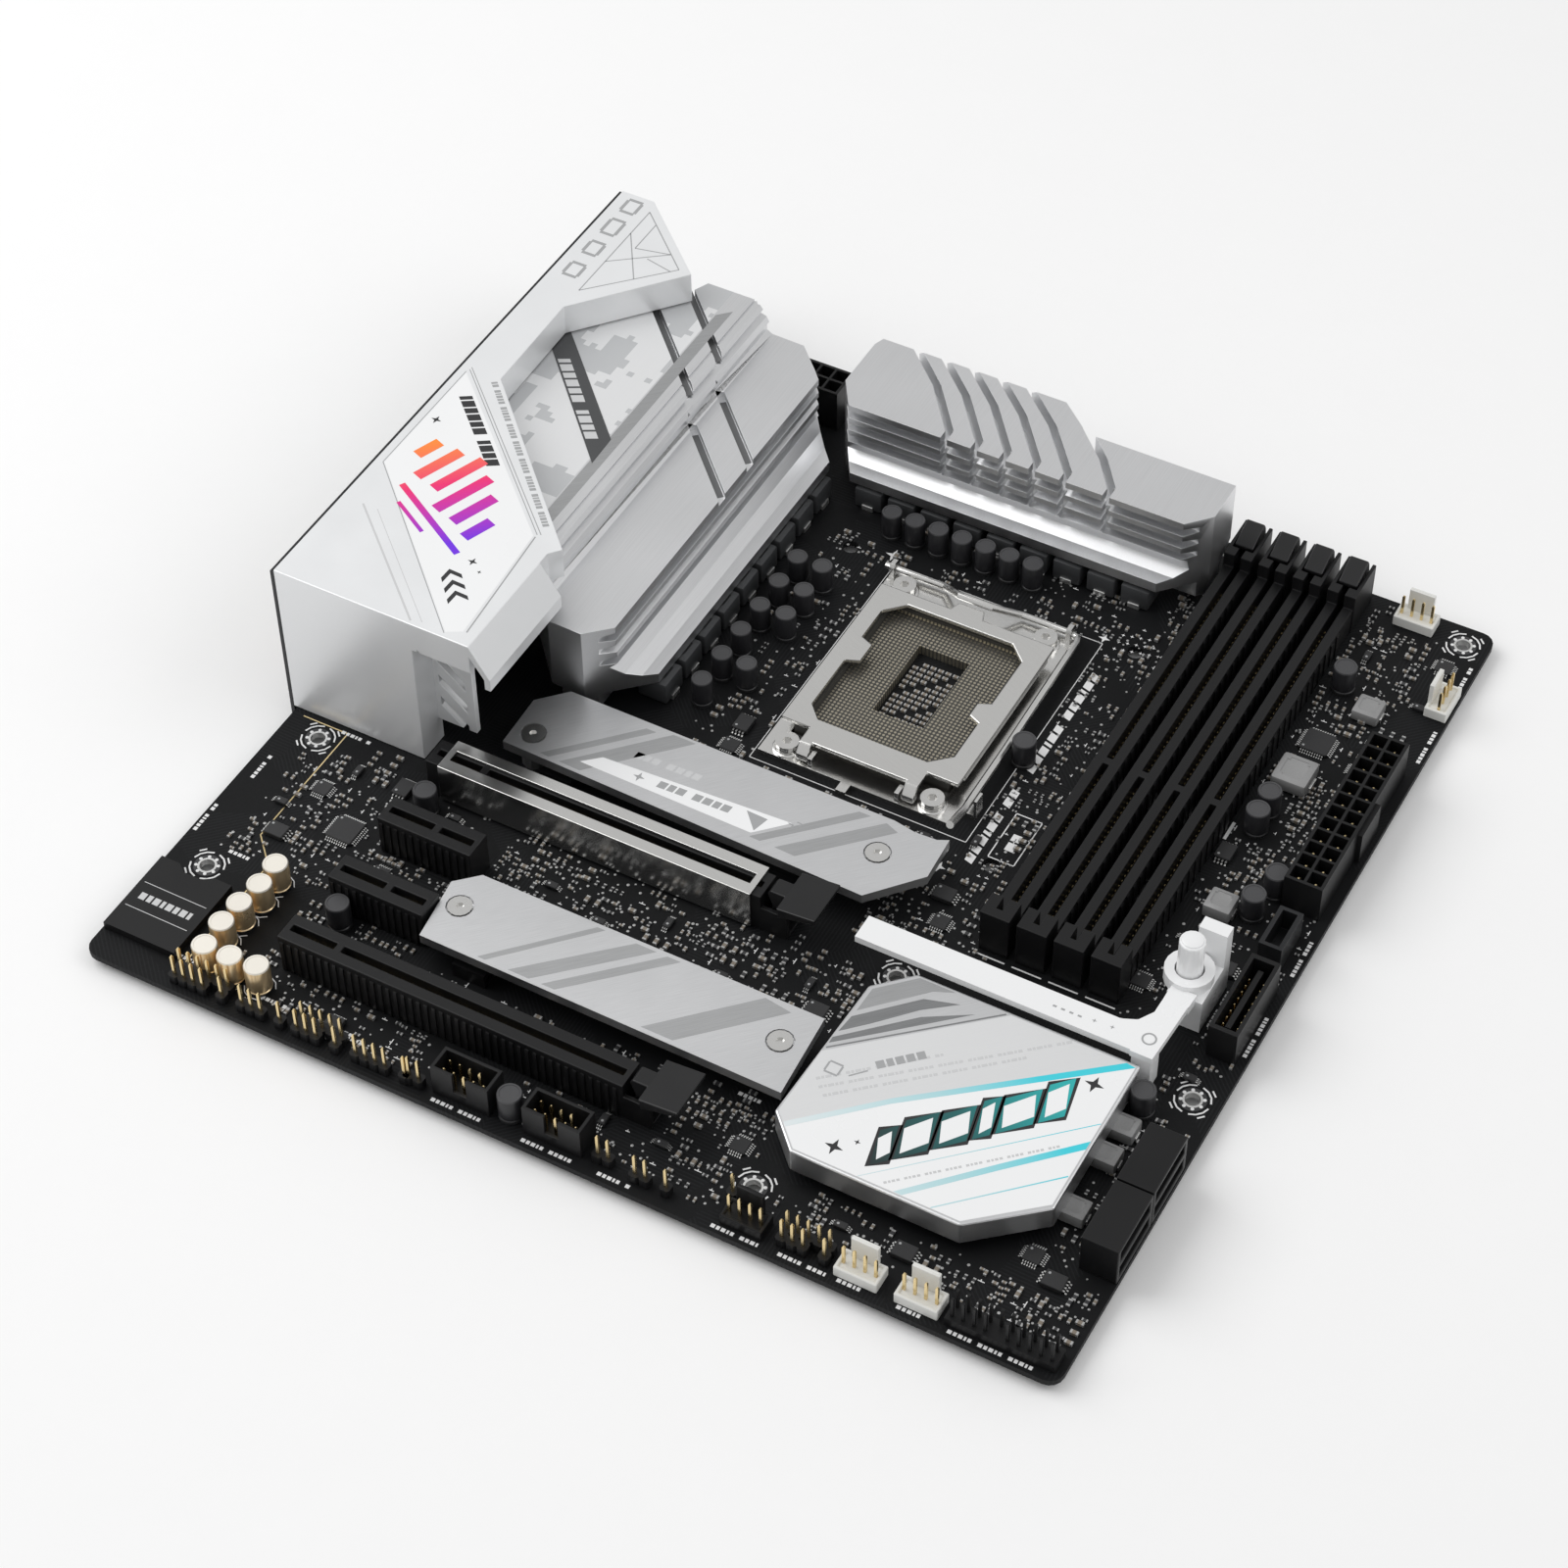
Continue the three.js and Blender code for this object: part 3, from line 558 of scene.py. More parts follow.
def brushed(name, color, rough, angle=0.0, metal=1.0, depth=0.006, vary=0.1, along=160.0):
    """Brushed metal whose lines run at an angle."""
    tree, shader = new_finish(name, rough, metal)
    lines = use_group(tree, "Brushed lines", {"Angle": math.radians(angle), "Along": along})
    cloud = use_group(tree, "Surface grain", {"Cloud size": 35.0})
    tone = blend_colors(tree, lines["Lines"], shade(color, 1 - vary), shade(color, 1 + vary))
    tree.links.new(tone, shader.inputs["Base Color"])
    tree.links.new(smooth_range(tree, cloud["Cloud"], 0.3, 0.7, rough * 0.88, rough * 1.12),
                   shader.inputs["Roughness"])
    bump_from(tree, shader, lines["Height"], depth)
    return tree, shader, tone


def board_finish(looks):
    """Black solder mask over copper tracks."""
    tree, shader = new_finish("board_mask", 0.5, 0.0, 0.16)
    tracks = use_group(tree, "Tracks", {})
    surface = use_group(tree, "Surface grain", {"Grain size": 2500.0, "Cloud size": 25.0})
    base = blend_colors(tree, surface["Cloud"], shade(looks.board_color, 0.75),
                        shade(looks.board_color, 1.25))
    lit = blend_colors(tree, maths(tree, "MULTIPLY", tracks["Mask"], 0.55), base,
                       shade(looks.board_color, 2.6))
    tree.links.new(lit, shader.inputs["Base Color"])
    tree.links.new(smooth_range(tree, surface["Grain"], 0.3, 0.7, 0.44, 0.6), shader.inputs["Roughness"])
    bump_from(tree, shader, maths(tree, "MULTIPLY_ADD", surface["Grain"], 0.25, tracks["Mask"]), 0.008)


def contact_finish():
    """Moulded contact carrier, with a bright spring contact in every cell of the bed."""
    tree, shader = new_finish("contact_bed", 0.5, 0.0)
    parts = add_node(tree, "ShaderNodeSeparateXYZ", {0: object_place(tree)})
    floor_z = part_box("cpu_socket")[1].z - 1.0 * MM
    in_bed = maths(tree, "LESS_THAN", parts.outputs[2], floor_z)
    dots = use_group(tree, "Dot grid", {"Pitch": 0.00102, "Radius": 0.33})
    surface = use_group(tree, "Surface grain", {"Grain size": 6000.0})
    mask = maths(tree, "MULTIPLY", dots["Mask"], in_bed)
    body = blend_colors(tree, surface["Cloud"], (0.035, 0.034, 0.03, 1), (0.06, 0.057, 0.05, 1))
    tree.links.new(blend_colors(tree, mask, body, (0.46, 0.42, 0.33, 1)), shader.inputs["Base Color"])
    tree.links.new(maths(tree, "MULTIPLY", mask, 0.85), shader.inputs["Metallic"])
    tree.links.new(smooth_range(tree, mask, 0.0, 1.0, 0.55, 0.32), shader.inputs["Roughness"])
    bump_from(tree, shader, maths(tree, "MULTIPLY_ADD", surface["Grain"], 0.1, mask), 0.05)


def left_sink_finish(looks):
    """Matte anodised aluminium whose upper tier carries a pale pattern of blocks."""
    tree, shader, tone = brushed("aluminium_left", looks.aluminium_color, 0.36, angle=90, along=60.0)
    parts = add_node(tree, "ShaderNodeSeparateXYZ", {0: object_place(tree)})
    low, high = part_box("heatsink_left")
    on_top = maths(tree, "GREATER_THAN", parts.outputs[2], high.z - 0.1 * MM)
    panel = use_group(tree, "Range window", {"Value": parts.outputs[0], "Low": low.x, "High": at(38.4, 0).x})
    blocks = use_group(tree, "Block pattern", {"Block": 0.0017, "Spread": 62.0, "Cover": 0.52})
    where = maths(tree, "MULTIPLY", on_top, panel["Mask"])
    mask = maths(tree, "MULTIPLY", where, blocks["Mask"])
    pale = blend_colors(tree, maths(tree, "MULTIPLY", where, 0.75), tone, (0.80, 0.805, 0.81, 1))
    tree.links.new(blend_colors(tree, mask, pale, (0.56, 0.57, 0.58, 1)), shader.inputs["Base Color"])
    tree.links.new(smooth_range(tree, where, 0.0, 1.0, 1.0, 0.35), shader.inputs["Metallic"])
    return tree, shader


def gradient_finish(name, start, end, stops):
    """A print whose colour runs from one board place to another. Stops are (place, colour)."""
    tree, shader = new_finish(name, 0.35, 0.0)
    parts = add_node(tree, "ShaderNodeSeparateXYZ", {0: object_place(tree)})
    a, b = at(*start), at(*end)
    along = b - a
    reach = along.length_squared
    run = maths(tree, "MULTIPLY_ADD", parts.outputs[0], along.x / reach,
                maths(tree, "MULTIPLY_ADD", parts.outputs[1], along.y / reach,
                      -(a.dot(along) - a.z * along.z) / reach))
    grain = use_group(tree, "Surface grain", {"Grain size": 3000.0})
    run = maths(tree, "MULTIPLY_ADD", maths(tree, "SUBTRACT", grain["Grain"], 0.5), 0.04, run)
    ramp = add_node(tree, "ShaderNodeValToRGB", {0: run})
    elements = ramp.color_ramp.elements
    for element, (place, color) in zip((elements[0], elements[1]), (stops[0], stops[-1])):
        element.position = place
        element.color = color
    for place, color in stops[1:-1]:
        elements.new(place).color = color
    tree.links.new(ramp.outputs[0], shader.inputs["Base Color"])
    bump_from(tree, shader, grain["Height"], 0.004)
    return tree, shader


def make_finishes(looks):
    for make in (grain_group, brushed_group, window_group, blocks_group, dots_group, tracks_group):
        group = make()
        GROUPS[group.name] = group
    board_finish(looks)
    contact_finish()
    left_sink_finish(looks)
    metal = looks.aluminium_color
    brushed("aluminium_top", metal, 0.36, angle=90, along=60.0)
    brushed("aluminium_cover", shade(metal, 0.86), 0.4, angle=-45, vary=0.16)
    brushed("aluminium_chipset", shade(metal, 0.9), 0.38, angle=-45)
    brushed("aluminium_dark", (0.30, 0.305, 0.31), 0.36, angle=-45, vary=0.25)
    brushed("aluminium_mid", (0.47, 0.475, 0.48), 0.36, angle=-45, vary=0.2)
    brushed("bright_steel", (0.72, 0.715, 0.70), 0.22, angle=20, depth=0.003, vary=0.06)
    brushed("connector_tin", (0.62, 0.62, 0.61), 0.3, depth=0.004)
    grained("shell_paint", looks.shell_color, 0.34, metal=0.35, grain=7000.0, depth=0.004, vary=0.035)
    # Near-white for printed panels, and for the painted highlight on the chipset cover.
    grained("pale_print_and_painted_highlight", (0.87, 0.875, 0.88), 0.3, grain=5000.0, depth=0.003, vary=0.02)
    brushed("pearl_print", (0.74, 0.745, 0.75), 0.4, angle=-45, metal=0.35, depth=0.002, vary=0.03)
    grained("black_moulding", looks.plastic_color, 0.42, grain=3500.0, depth=0.012, vary=0.3, spec=0.3)
    grained("black_latch", shade(looks.plastic_color, 1.2), 0.34, grain=3500.0, depth=0.01, vary=0.3,
            spec=0.4)
    grained("dark_plate", (0.035, 0.036, 0.038), 0.4, metal=0.7, grain=5000.0, vary=0.25)
    grained("white_gloss", (0.86, 0.865, 0.87), 0.25, grain=2000.0, depth=0.004, vary=0.03, coat=0.3)
    grained("ivory_moulding", (0.74, 0.74, 0.71), 0.42, vary=0.06)
    grained("gold_plate", (0.83, 0.66, 0.36), 0.26, metal=1.0, vary=0.12, depth=0.004)
    grained("gold_sleeve", (0.80, 0.62, 0.38), 0.3, metal=0.8, vary=0.08, depth=0.004)
    grained("cap_crown", (0.86, 0.82, 0.74), 0.36, metal=0.3, vary=0.05, depth=0.006)
    grained("solder_tin", (0.70, 0.70, 0.69), 0.34, metal=0.9, vary=0.15)
    grained("dull_tin", (0.46, 0.46, 0.455), 0.42, metal=0.6, vary=0.25)
    grained("chip_epoxy", (0.018, 0.018, 0.019), 0.5, grain=5000.0, vary=0.3)
    grained("choke_ferrite", (0.055, 0.057, 0.06), 0.5, metal=0.3, grain=2500.0, depth=0.03, vary=0.25)
    grained("choke_grey", (0.30, 0.30, 0.30), 0.5, metal=0.3, grain=2500.0, depth=0.03, vary=0.2)
    grained("cap_black", (0.016, 0.016, 0.018), 0.36, grain=2500.0, depth=0.01, vary=0.3)
    grained("cap_grey_top", (0.055, 0.055, 0.058), 0.42, grain=2500.0, depth=0.02, vary=0.3)
    grained("ceramic", (0.20, 0.17, 0.135), 0.45, vary=0.25)
    grained("resistor_black", (0.03, 0.03, 0.032), 0.4, vary=0.2)
    grained("print_white", looks.print_color, 0.5, grain=5000.0, vary=0.05, depth=0.004)
    grained("print_grey", (0.36, 0.365, 0.37), 0.45, grain=5000.0, vary=0.06, depth=0.003)
    grained("print_light_grey", (0.58, 0.585, 0.59), 0.45, grain=5000.0, vary=0.05, depth=0.003)
    grained("print_black", (0.02, 0.02, 0.022), 0.4, grain=5000.0, vary=0.2, depth=0.003)
    # Dark grey for sheets laid in the heatsink grooves: painted shade where the grooves lie in shadow.
    grained("groove_painted_shade", (0.16, 0.162, 0.165), 0.5, metal=0.4, grain=5000.0, vary=0.15)
    grained("print_charcoal", (0.075, 0.077, 0.08), 0.45, metal=0.3, grain=5000.0, vary=0.15, depth=0.004)
    for name, color in JACK_COLORS.items():
        grained("jack_" + name, color, 0.4, vary=0.08)
    grained("port_teal", (0.05, 0.28, 0.33), 0.4, vary=0.1)
    grained("pad_grey", (0.03, 0.03, 0.032), 0.5, grain=2500.0, vary=0.15, depth=0.02)
    orange, pink, violet = (1.0, 0.28, 0.02, 1), (0.86, 0.02, 0.16, 1), (0.16, 0.02, 0.75, 1)
    gradient_finish("print_sunset", (12, 146), (36, 118), [(0.0, orange), (0.45, pink), (1.0, violet)])
    cyan, pale = (0.05, 0.62, 0.72, 1), (0.75, 0.80, 0.81, 1)
    gradient_finish("print_cyan", (166, 25), (227, 79),
                    [(0.0, pale), (0.42, (0.42, 0.68, 0.72, 1)), (0.7, cyan), (1.0, cyan)])
    gradient_finish("print_teal", (188, 24), (216, 62),
                    [(0.0, (0.01, 0.02, 0.02, 1)), (0.5, (0.01, 0.12, 0.12, 1)),
                                                        (1.0, (0.02, 0.42, 0.42, 1))])


JACK_COLORS = {
    "blue": (0.10, 0.32, 0.62), "green": (0.25, 0.55, 0.16), "pink": (0.75, 0.30, 0.38),
    "orange": (0.78, 0.30, 0.05), "black": (0.02, 0.02, 0.022), "grey": (0.35, 0.35, 0.36),
}


# ---- solid parts ----

# The finish and the edge rounding (in millimetres) of each solid part, by how its node's name starts.
NODE_FINISHES = {
    "pcb": "board_mask", "cpu_socket": "contact_bed", "heatsink_left": "aluminium_left",
    "heatsink_top": "aluminium_top", "m2_cover": "aluminium_cover", "chipset_heatsink": "aluminium_chipset",
    "io_shroud": "shell_paint", "release": "white_gloss", "socket_frame": "bright_steel",
    "socket_screw": "bright_steel", "load": "bright_steel", "slot_shield": "bright_steel",
    "cover_screw": "bright_steel", "antenna": "connector_tin", "lan_port": "connector_tin",
    "usb_stack": "connector_tin", "video_ports": "connector_tin", "usb_c_header": "dark_plate",
    "rear_plate": "dark_plate", "cpu_back_plate": "dark_plate", "chipset_package": "dark_plate",
    "flash_button": "dark_plate", "dimm_latch": "black_latch", "slot_latch": "black_latch",
}
EDGE_WIDTHS = {
    "heatsink": 0.28, "m2_cover": 0.3, "chipset_heatsink": 0.45, "io_shroud": 0.35, "release": 0.4,
    "load_plate": 0.28, "socket_frame": 0.15, "dimm": 0.3, "slot_latch": 0.25, "pcie": 0.2,
    "rear_plate": 0.15, "power": 0.25, "drive": 0.25, "usb": 0.12, "lan_port": 0.2, "video": 0.2,
    "slot_shield": 0.1,
}


def best_match(table, node, other):
    """The entry whose key is the longest start of the node's name."""
    keys = [key for key in table if node.startswith(key)]
    return table[max(keys, key=len)] if keys else other


def dress_solids(edge):
    """Gives every solid part its finish, and live modifiers that merge its faces and break its edges."""
    for name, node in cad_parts.items():
        node.data.materials.clear()
        node.data.materials.append(LOOKS[best_match(NODE_FINISHES, name, "black_moulding")])
        width = best_match(EDGE_WIDTHS, name, 0)
        if width:
            weld = node.modifiers.new("Merge", "WELD")
            weld.merge_threshold = 0.002 * MM
            flat = node.modifiers.new("Flat faces", "DECIMATE")
            flat.decimate_type = "DISSOLVE"
            flat.angle_limit = math.radians(0.5)
            bevel = node.modifiers.new("Broken edges", "BEVEL")
            bevel.width = width * edge * MM
            bevel.segments = 2
            bevel.limit_method = "ANGLE"
            bevel.angle_limit = math.radians(32)
            bevel.use_clamp_overlap = True


# ---- small round parts ----

AUDIO_CAPS = [(28.2, 37), (28.4, 30.3), (27.6, 23.5), (27.3, 16.9), (27.8, 9.5), (34.6, 9.5), (41.5, 10)]
REGULATOR_CAPS = [(84.5, y) for y in (134, 143.7, 153, 162.5, 172, 181.5)]
REGULATOR_CAPS += [(91.4, y) for y in (143.5, 162.8, 172, 181.5)]
REGULATOR_CAPS += [(x, 206.6) for x in (97.5, 104, 110.5, 117, 123.5, 130, 136.5)]
OTHER_CAPS = [(217.8, 165), (217.7, 158.5), (229.3, 142.8), (227.3, 134.4), (217.5, 210.4), (229, 72),
              (47, 34), (109.7, 6.3), (45.6, 72.6), (160.8, 152.6)]


def capacitor(name, radius, height, finishes):
    """A can on a moulded foot: rolled neck, rounded crown and a sunk top."""
    piece = turned(name, [
        (radius * 0.98, 0), (radius, 0.3), (radius, 0.9), (radius * 0.93, 1.1), (radius * 0.93, 1.4),
        (radius, 1.6), (radius, height - 0.35), (radius * 0.93, height), (radius * 0.8, height),
        (radius * 0.77, height - 0.14),
    ], sides=24)
    wear_finish(piece, finishes)
    paint_faces(piece, 1, lambda centre, normal: centre.z > height - 0.2)
    paint_faces(piece, 2, lambda centre, normal: centre.z < 0.95)
    return piece


def make_capacitors():
    gold = capacitor("audio_cap", 3.0, 8.0, ["gold_sleeve", "cap_crown", "cap_black"])
    separate_copies("audio_cap", gold, [here(x, y) for x, y in AUDIO_CAPS])
    black = capacitor("board_cap", 2.6, 8.0, ["cap_black", "cap_grey_top", "chip_epoxy"])
    separate_copies("regulator_cap", black, [here(x, y, turn=20) for x, y in REGULATOR_CAPS])
    black = capacitor("board_cap", 2.9, 7.6, ["cap_black", "cap_grey_top", "chip_epoxy"])
    separate_copies("board_cap", black, [here(x, y, turn=50) for x, y in OTHER_CAPS])


def choke(name, width, height, finish):
    """A moulded coil: a square block with cut corners and a terminal at each end."""
    half = width / 2
    piece = start_block(name, (-half, -half, 0.2), (half, half, height))
    round_edges(piece, width * 0.09, 2)
    pick_faces(piece, lambda centre, normal: normal.z > 0.9)
    inset(width * 0.16)
    extrude(0, 0, -0.15)
    bpy.ops.object.mode_set(mode="OBJECT")
    wear_finish(piece, [finish, "solder_tin"])
    ends = []
    for side in (-1, 1):
        x0, x1 = sorted((side * half * 0.5, side * (half + 0.35)))
        end = start_block(name + "_end", (x0, -half * 0.4, 0), (x1, half * 0.4, 1.6))
        round_edges(end, 0.12, 1)
        wear_finish(end, ["solder_tin"])
        ends.append(end)
    return join_pieces(name, [piece] + ends)


def make_chokes():
    left = choke("choke", 8.2, 6.6, "choke_ferrite")
    separate_copies("left_choke", left, [here(73.7, 132.6 + 9.4 * i) for i in range(9)])
    upper = choke("choke", 7.6, 6.2, "choke_ferrite")
    separate_copies("upper_choke", upper, [here(88 + 9.2 * i, 215.4, turn=90) for i in range(9)])
    grey = choke("choke", 6.6, 4.0, "choke_grey")
    places = [here(219.2, 177, scale=(1.35, 1.4, 1)), here(220.6, 132), here(226.2, 205, scale=(1, 1, 0.8)),
              here(228, 64.6, scale=(1, 0.85, 0.9)), here(228, 55.9, scale=(1, 0.85, 0.9)),
              here(228.2, 40, scale=(1, 0.85, 0.9))]
    separate_copies("grey_choke", grey, places)


# ---- chips ----

def leg_row(name, count, pitch, reach, height):
    """A row of bent legs that stand out along +x from a chip's side."""
    leg = start_block(name, (0, -pitch * 0.22, height * 0.5), (reach * 0.5, pitch * 0.22, height * 0.62))
    pick_faces(leg, lambda centre, normal: normal.x > 0.9)
    extrude(reach * 0.15, 0, -height * 0.48)
    extrude(reach * 0.35, 0, -height * 0.02)
    leave_edit()
    wear_finish(leg, ["solder_tin"])
    legs = []
    for index in range(count):
        twin = leg.copy()
        twin.data = leg.data.copy()
        twin.data.transform(Matrix.Translation((0, (index - (count - 1) / 2) * pitch * MM, 0)))
        bpy.context.scene.collection.objects.link(twin)
        legs.append(twin)
    drop(leg)
    return join_pieces(name, legs)


def chip(name, width, depth, height, legs, sides=2):
    """A moulded chip: chamfered body, a corner dimple and legs on two or four sides."""
    piece = start_block(name, (-width / 2, -depth / 2, 0.12), (width / 2, depth / 2, height))
    round_edges(piece, 0.14, 1)
    wear_finish(piece, ["chip_epoxy"])
    dimple = turned(name + "_dot", [(0.32, height - 0.05), (0.32, height + 0.012),
                                    (0.22, height + 0.012)], sides=10)
    dimple.data.transform(Matrix.Translation(((-width / 2 + 0.9) * MM, (depth / 2 - 0.9) * MM, 0)))
    wear_finish(dimple, ["print_grey"])
    parts = [piece, dimple]
    for side in range(sides):
        turn = side * 180 if sides == 2 else side * 90
        along = depth if turn % 180 == 0 else width
        half = width / 2 if turn % 180 == 0 else depth / 2
        row = leg_row(name + "_legs", legs, along * 0.86 / legs, 1.0, height * 0.9)
        row.data.transform(Matrix.Rotation(math.radians(turn), 4,
                                           "Z") @ Matrix.Translation((half * MM, 0, 0)))
        parts.append(row)
    return join_pieces(name, parts)


# Chips by width, depth, height, legs on a side and sides with legs, each with its places: x, y and turn.
CHIP_PLACES = {
    (7.0, 7.0, 0.95, 10, 4): [(32.4, 58.2, 0), (204.5, 128.4, 0), (219.4, 190.6, 90)],
    (5.0, 4.0, 1.5, 4, 2): [(18.6, 50.4, 0), (37.5, 75.4, 90), (154.2, 62.6, 0), (214.6, 148.4, 90),
                            (232.2, 22.4, 0), (163.6, 106.4, 0), (62.2, 8.0, 90), (201.4, 14.2, 0),
                            (97.2, 131.5, 90), (228.6, 116.6, 0)],
    (4.0, 4.0, 0.85, 6, 4): [(46.8, 50.6, 0), (20.4, 66.8, 0), (166.5, 98.8, 0), (231.4, 186.4, 0),
                             (236.4, 228.0, 0), (157.4, 22.4, 0), (97.6, 124.2, 0), (213.6, 104.8, 0),
                             (118.6, 27.8, 0), (225.5, 26.6, 0)],
    (3.0, 1.7, 1.1, 3, 2): [(14.2, 58.8, 0), (24.8, 75.2, 90), (52.8, 73.4, 0), (43.4, 62.4, 90),
                            (173.6, 91.2, 0), (151.2, 120.2, 0), (162.6, 124.4, 90), (217.4, 120.8, 0),
                            (231.6, 196.6, 0), (218.6, 222.6, 90), (236.2, 212.4, 0), (142.4, 14.6, 0),
                            (128.2, 14.2, 90), (186.4, 14.0, 0), (234.6, 84.8, 0), (149.2, 68.8, 90),
                            (98.4, 62.2, 0), (112.6, 69.2, 90), (83.4, 66.4, 0), (130.6, 61.6, 0)],
}


def make_chips():
    for number, (form, places) in enumerate(CHIP_PLACES.items(), 1):
        pattern = chip("chip", *form)
        separate_copies(f"chip_{number}", pattern, [here(x, y, turn=turn) for x, y, turn in places])


# ---- the many small parts ----

def small_part(name, body_finish, length, width, height):
    """A ceramic or thick-film part: a body between two plated ends."""
    half = length / 2
    piece = start_block(name, (-half * 0.5, -width / 2, 0.02), (half * 0.5, width / 2, height))
    wear_finish(piece, [body_finish, "dull_tin"])
    for side in (-1, 1):
        pick_faces(piece, lambda centre, normal: normal.x * side > 0.9)
        extrude(side * half * 0.5, 0, 0)
        bpy.ops.object.mode_set(mode="OBJECT")
    paint_faces(piece, 1, lambda centre, normal: abs(centre.x) > half * 0.51)
    return piece


# region of the board, number of clusters
PART_FIELDS = [
    ((9, 40, 60, 79), 95), ((30, 5, 88, 17), 36), ((37, 26, 66, 57), 40), ((100, 5, 216, 15), 60),
    ((140, 12, 162, 32), 22), ((68, 64, 160, 77), 70), ((66, 56, 160, 70), 42), ((72, 22, 160, 33), 30),
    ((150, 85, 181, 112), 46), ((158, 112, 176, 206), 60), ((84, 118, 104, 206), 46),
    ((100, 196, 160, 212), 30), ((212, 60, 243, 140), 86), ((213, 140, 232, 240), 110),
    ((170, 206, 178, 240), 22), ((230, 4, 243, 30), 20), ((178, 8, 232, 20), 42),
    ((104, 117, 156, 124), 22), ((226, 28, 235, 76), 16),
]
ROWS_SHARE = 1.5  # rows of small parts, per count of a field
KEEP_CLEAR = [(155, 77, 229, 85), (222, 84, 231, 113), (104, 124, 160, 196), (222, 58, 226, 76)]
RAISED = {"m2_cover_1", "m2_cover_2", "load_lever", "load_plate", "release_housing", "heatsink_left",
          "heatsink_top", "slot_latch_1", "slot_latch_2", "rear_plate", "cpu_back_plate", "pcb",
          "slot_shield"}


def occupied_plan():
    """Rectangles that the small parts keep out of."""
    taken = [plan(node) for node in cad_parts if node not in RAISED]
    taken += [list(rect) for rect in KEEP_CLEAR]
    for x, y in HOLES:
        taken.append([x - 5.4, y - 5.4, x + 5.4, y + 5.4])
    for x, y in AUDIO_CAPS + REGULATOR_CAPS + OTHER_CAPS:
        taken.append([x - 3.1, y - 3.1, x + 3.1, y + 3.1])
    for (width, depth, *_), places in CHIP_PLACES.items():
        reach = max(width, depth) / 2 + 1.1
        taken += [[x - reach, y - reach, x + reach, y + reach] for x, y, _ in places]
    for x0, y0, x1, y1 in HEADER_PLANS:
        taken.append([x0 - 0.4, y0 - 0.4, x1 + 0.4, y1 + 0.4])
    return taken


def free(x, y, reach, taken):
    """True where a small part fits on the board without touching what stands there."""
    if not (2 < x < BOARD_SIDE - 2 and 2 < y < BOARD_SIDE - 2):
        return False
    return not any(x0 - reach < x < x1 + reach and y0 - reach < y < y1 + reach for x0, y0, x1, y1 in taken)


def scattered_places(draw, taken):
    """Rows of one to six small parts that share a direction, drawn for every field of the board."""
    rows = []
    for (x0, y0, x1, y1), count in PART_FIELDS:
        for _ in range(round(count * ROWS_SHARE)):
            x, y = draw.uniform(x0, x1), draw.uniform(y0, y1)
            turn = draw.choice((0, 90))
            step = (0, 1.0) if turn == 0 else (1.0, 0)
            kind = draw.choice(("ceramic", "ceramic", "resistor_black", "resistor_black", "ceramic"))
            scale = draw.choice((0.8, 1.0, 1.0, 1.35))
            for index in range(draw.randint(1, 6)):
                px, py = x + step[0] * index * scale, y + step[1] * index * scale
                if free(px, py, 0.7 * scale, taken):
                    rows.append((kind, (px, py, 0, turn, scale)))
                    reach = 0.4 * scale
                    taken.append([px - reach, py - reach, px + reach, py + reach])
    return rows


def make_small_parts(looks):
    """Small parts, their pads, vias and the fine white marks between them."""
    draw = random.Random(looks.scatter_seed)
    taken = occupied_plan()
    rows = scattered_places(draw, taken)
    for kind in ("ceramic", "resistor_black"):
        pattern = small_part("small_part", kind, 1.35, 0.68, 0.6 if kind == "ceramic" else 0.4)
        places = [place for found, place in rows if found == kind]
        joined_copies("small_parts_" + kind.split("_")[0], pattern, places)
    vias, marks = [], []
    for (x0, y0, x1, y1), count in PART_FIELDS:
        for _ in range(count * 2):
            x, y = draw.uniform(x0, x1), draw.uniform(y0, y1)
            if free(x, y, 0.35, taken):
                vias.append(here(x, y, scale=draw.uniform(0.7, 1.3)))
                taken.append([x - 0.3, y - 0.3, x + 0.3, y + 0.3])
        for _ in range(count):
            x, y = draw.uniform(x0, x1), draw.uniform(y0, y1)
            if free(x, y, 0.9, taken):
                marks.append(here(x, y, turn=draw.choice((0, 90)), scale=(draw.uniform(0.6, 1.3), 1, 1)))
                taken.append([x - 0.8, y - 0.8, x + 0.8, y + 0.8])
    dot = turned("via", [(0.3, -0.01), (0.3, 0.03), (0.16, 0.05)], sides=8)
    wear_finish(dot, ["dull_tin"])
    joined_copies("vias", dot, vias)
    dash = start_outline("mark", [(-0.7, -0.11), (0.7, -0.11), (0.7, 0.11), (0, 0.11), (0, 0.5),
                                  (-0.2, 0.5), (-0.2, 0.11), (-0.7, 0.11)],
                         -SINK, 0.02)
    wear_finish(dash, ["print_white"])
    joined_copies("board_marks", dash, marks)


# ---- pins and headers ----

PIN = 0.64
HEADER_PITCH = 2.54
# x, y, columns, rows of bare pin headers along the slot edge
PIN_HEADERS = [(22.4, 1.6, 6, 2), (40.4, 1.8, 5, 1), (55.0, 1.8, 5, 2), (70.4, 2.0, 6, 1), (131.2, 3.6, 2, 1),
               (140.8, 2.8, 4, 1), (176.2, 3.2, 5, 2), (84.0, 2.4, 2, 1), (161.4, 8.6, 1, 1)]
FAN_HEADERS = [(168.4, 5.4, 0, "black_moulding"), (224.6, 239.0, 0, "ivory_moulding"),
               (240.6, 216, 90, "ivory_moulding"), (195.8, 5.2, 0, "ivory_moulding"),
               (210.0, 5.2, 0, "ivory_moulding")]
HEADER_PLANS = [(x, y, x + c * HEADER_PITCH, y + r * HEADER_PITCH) for x, y, c, r in PIN_HEADERS]
HEADER_PLANS += [(x - 6, y - 4, x + 6, y + 4) if turn == 0 else (x - 4, y - 6, x + 4, y + 6)
                 for x, y, turn, finish in FAN_HEADERS]


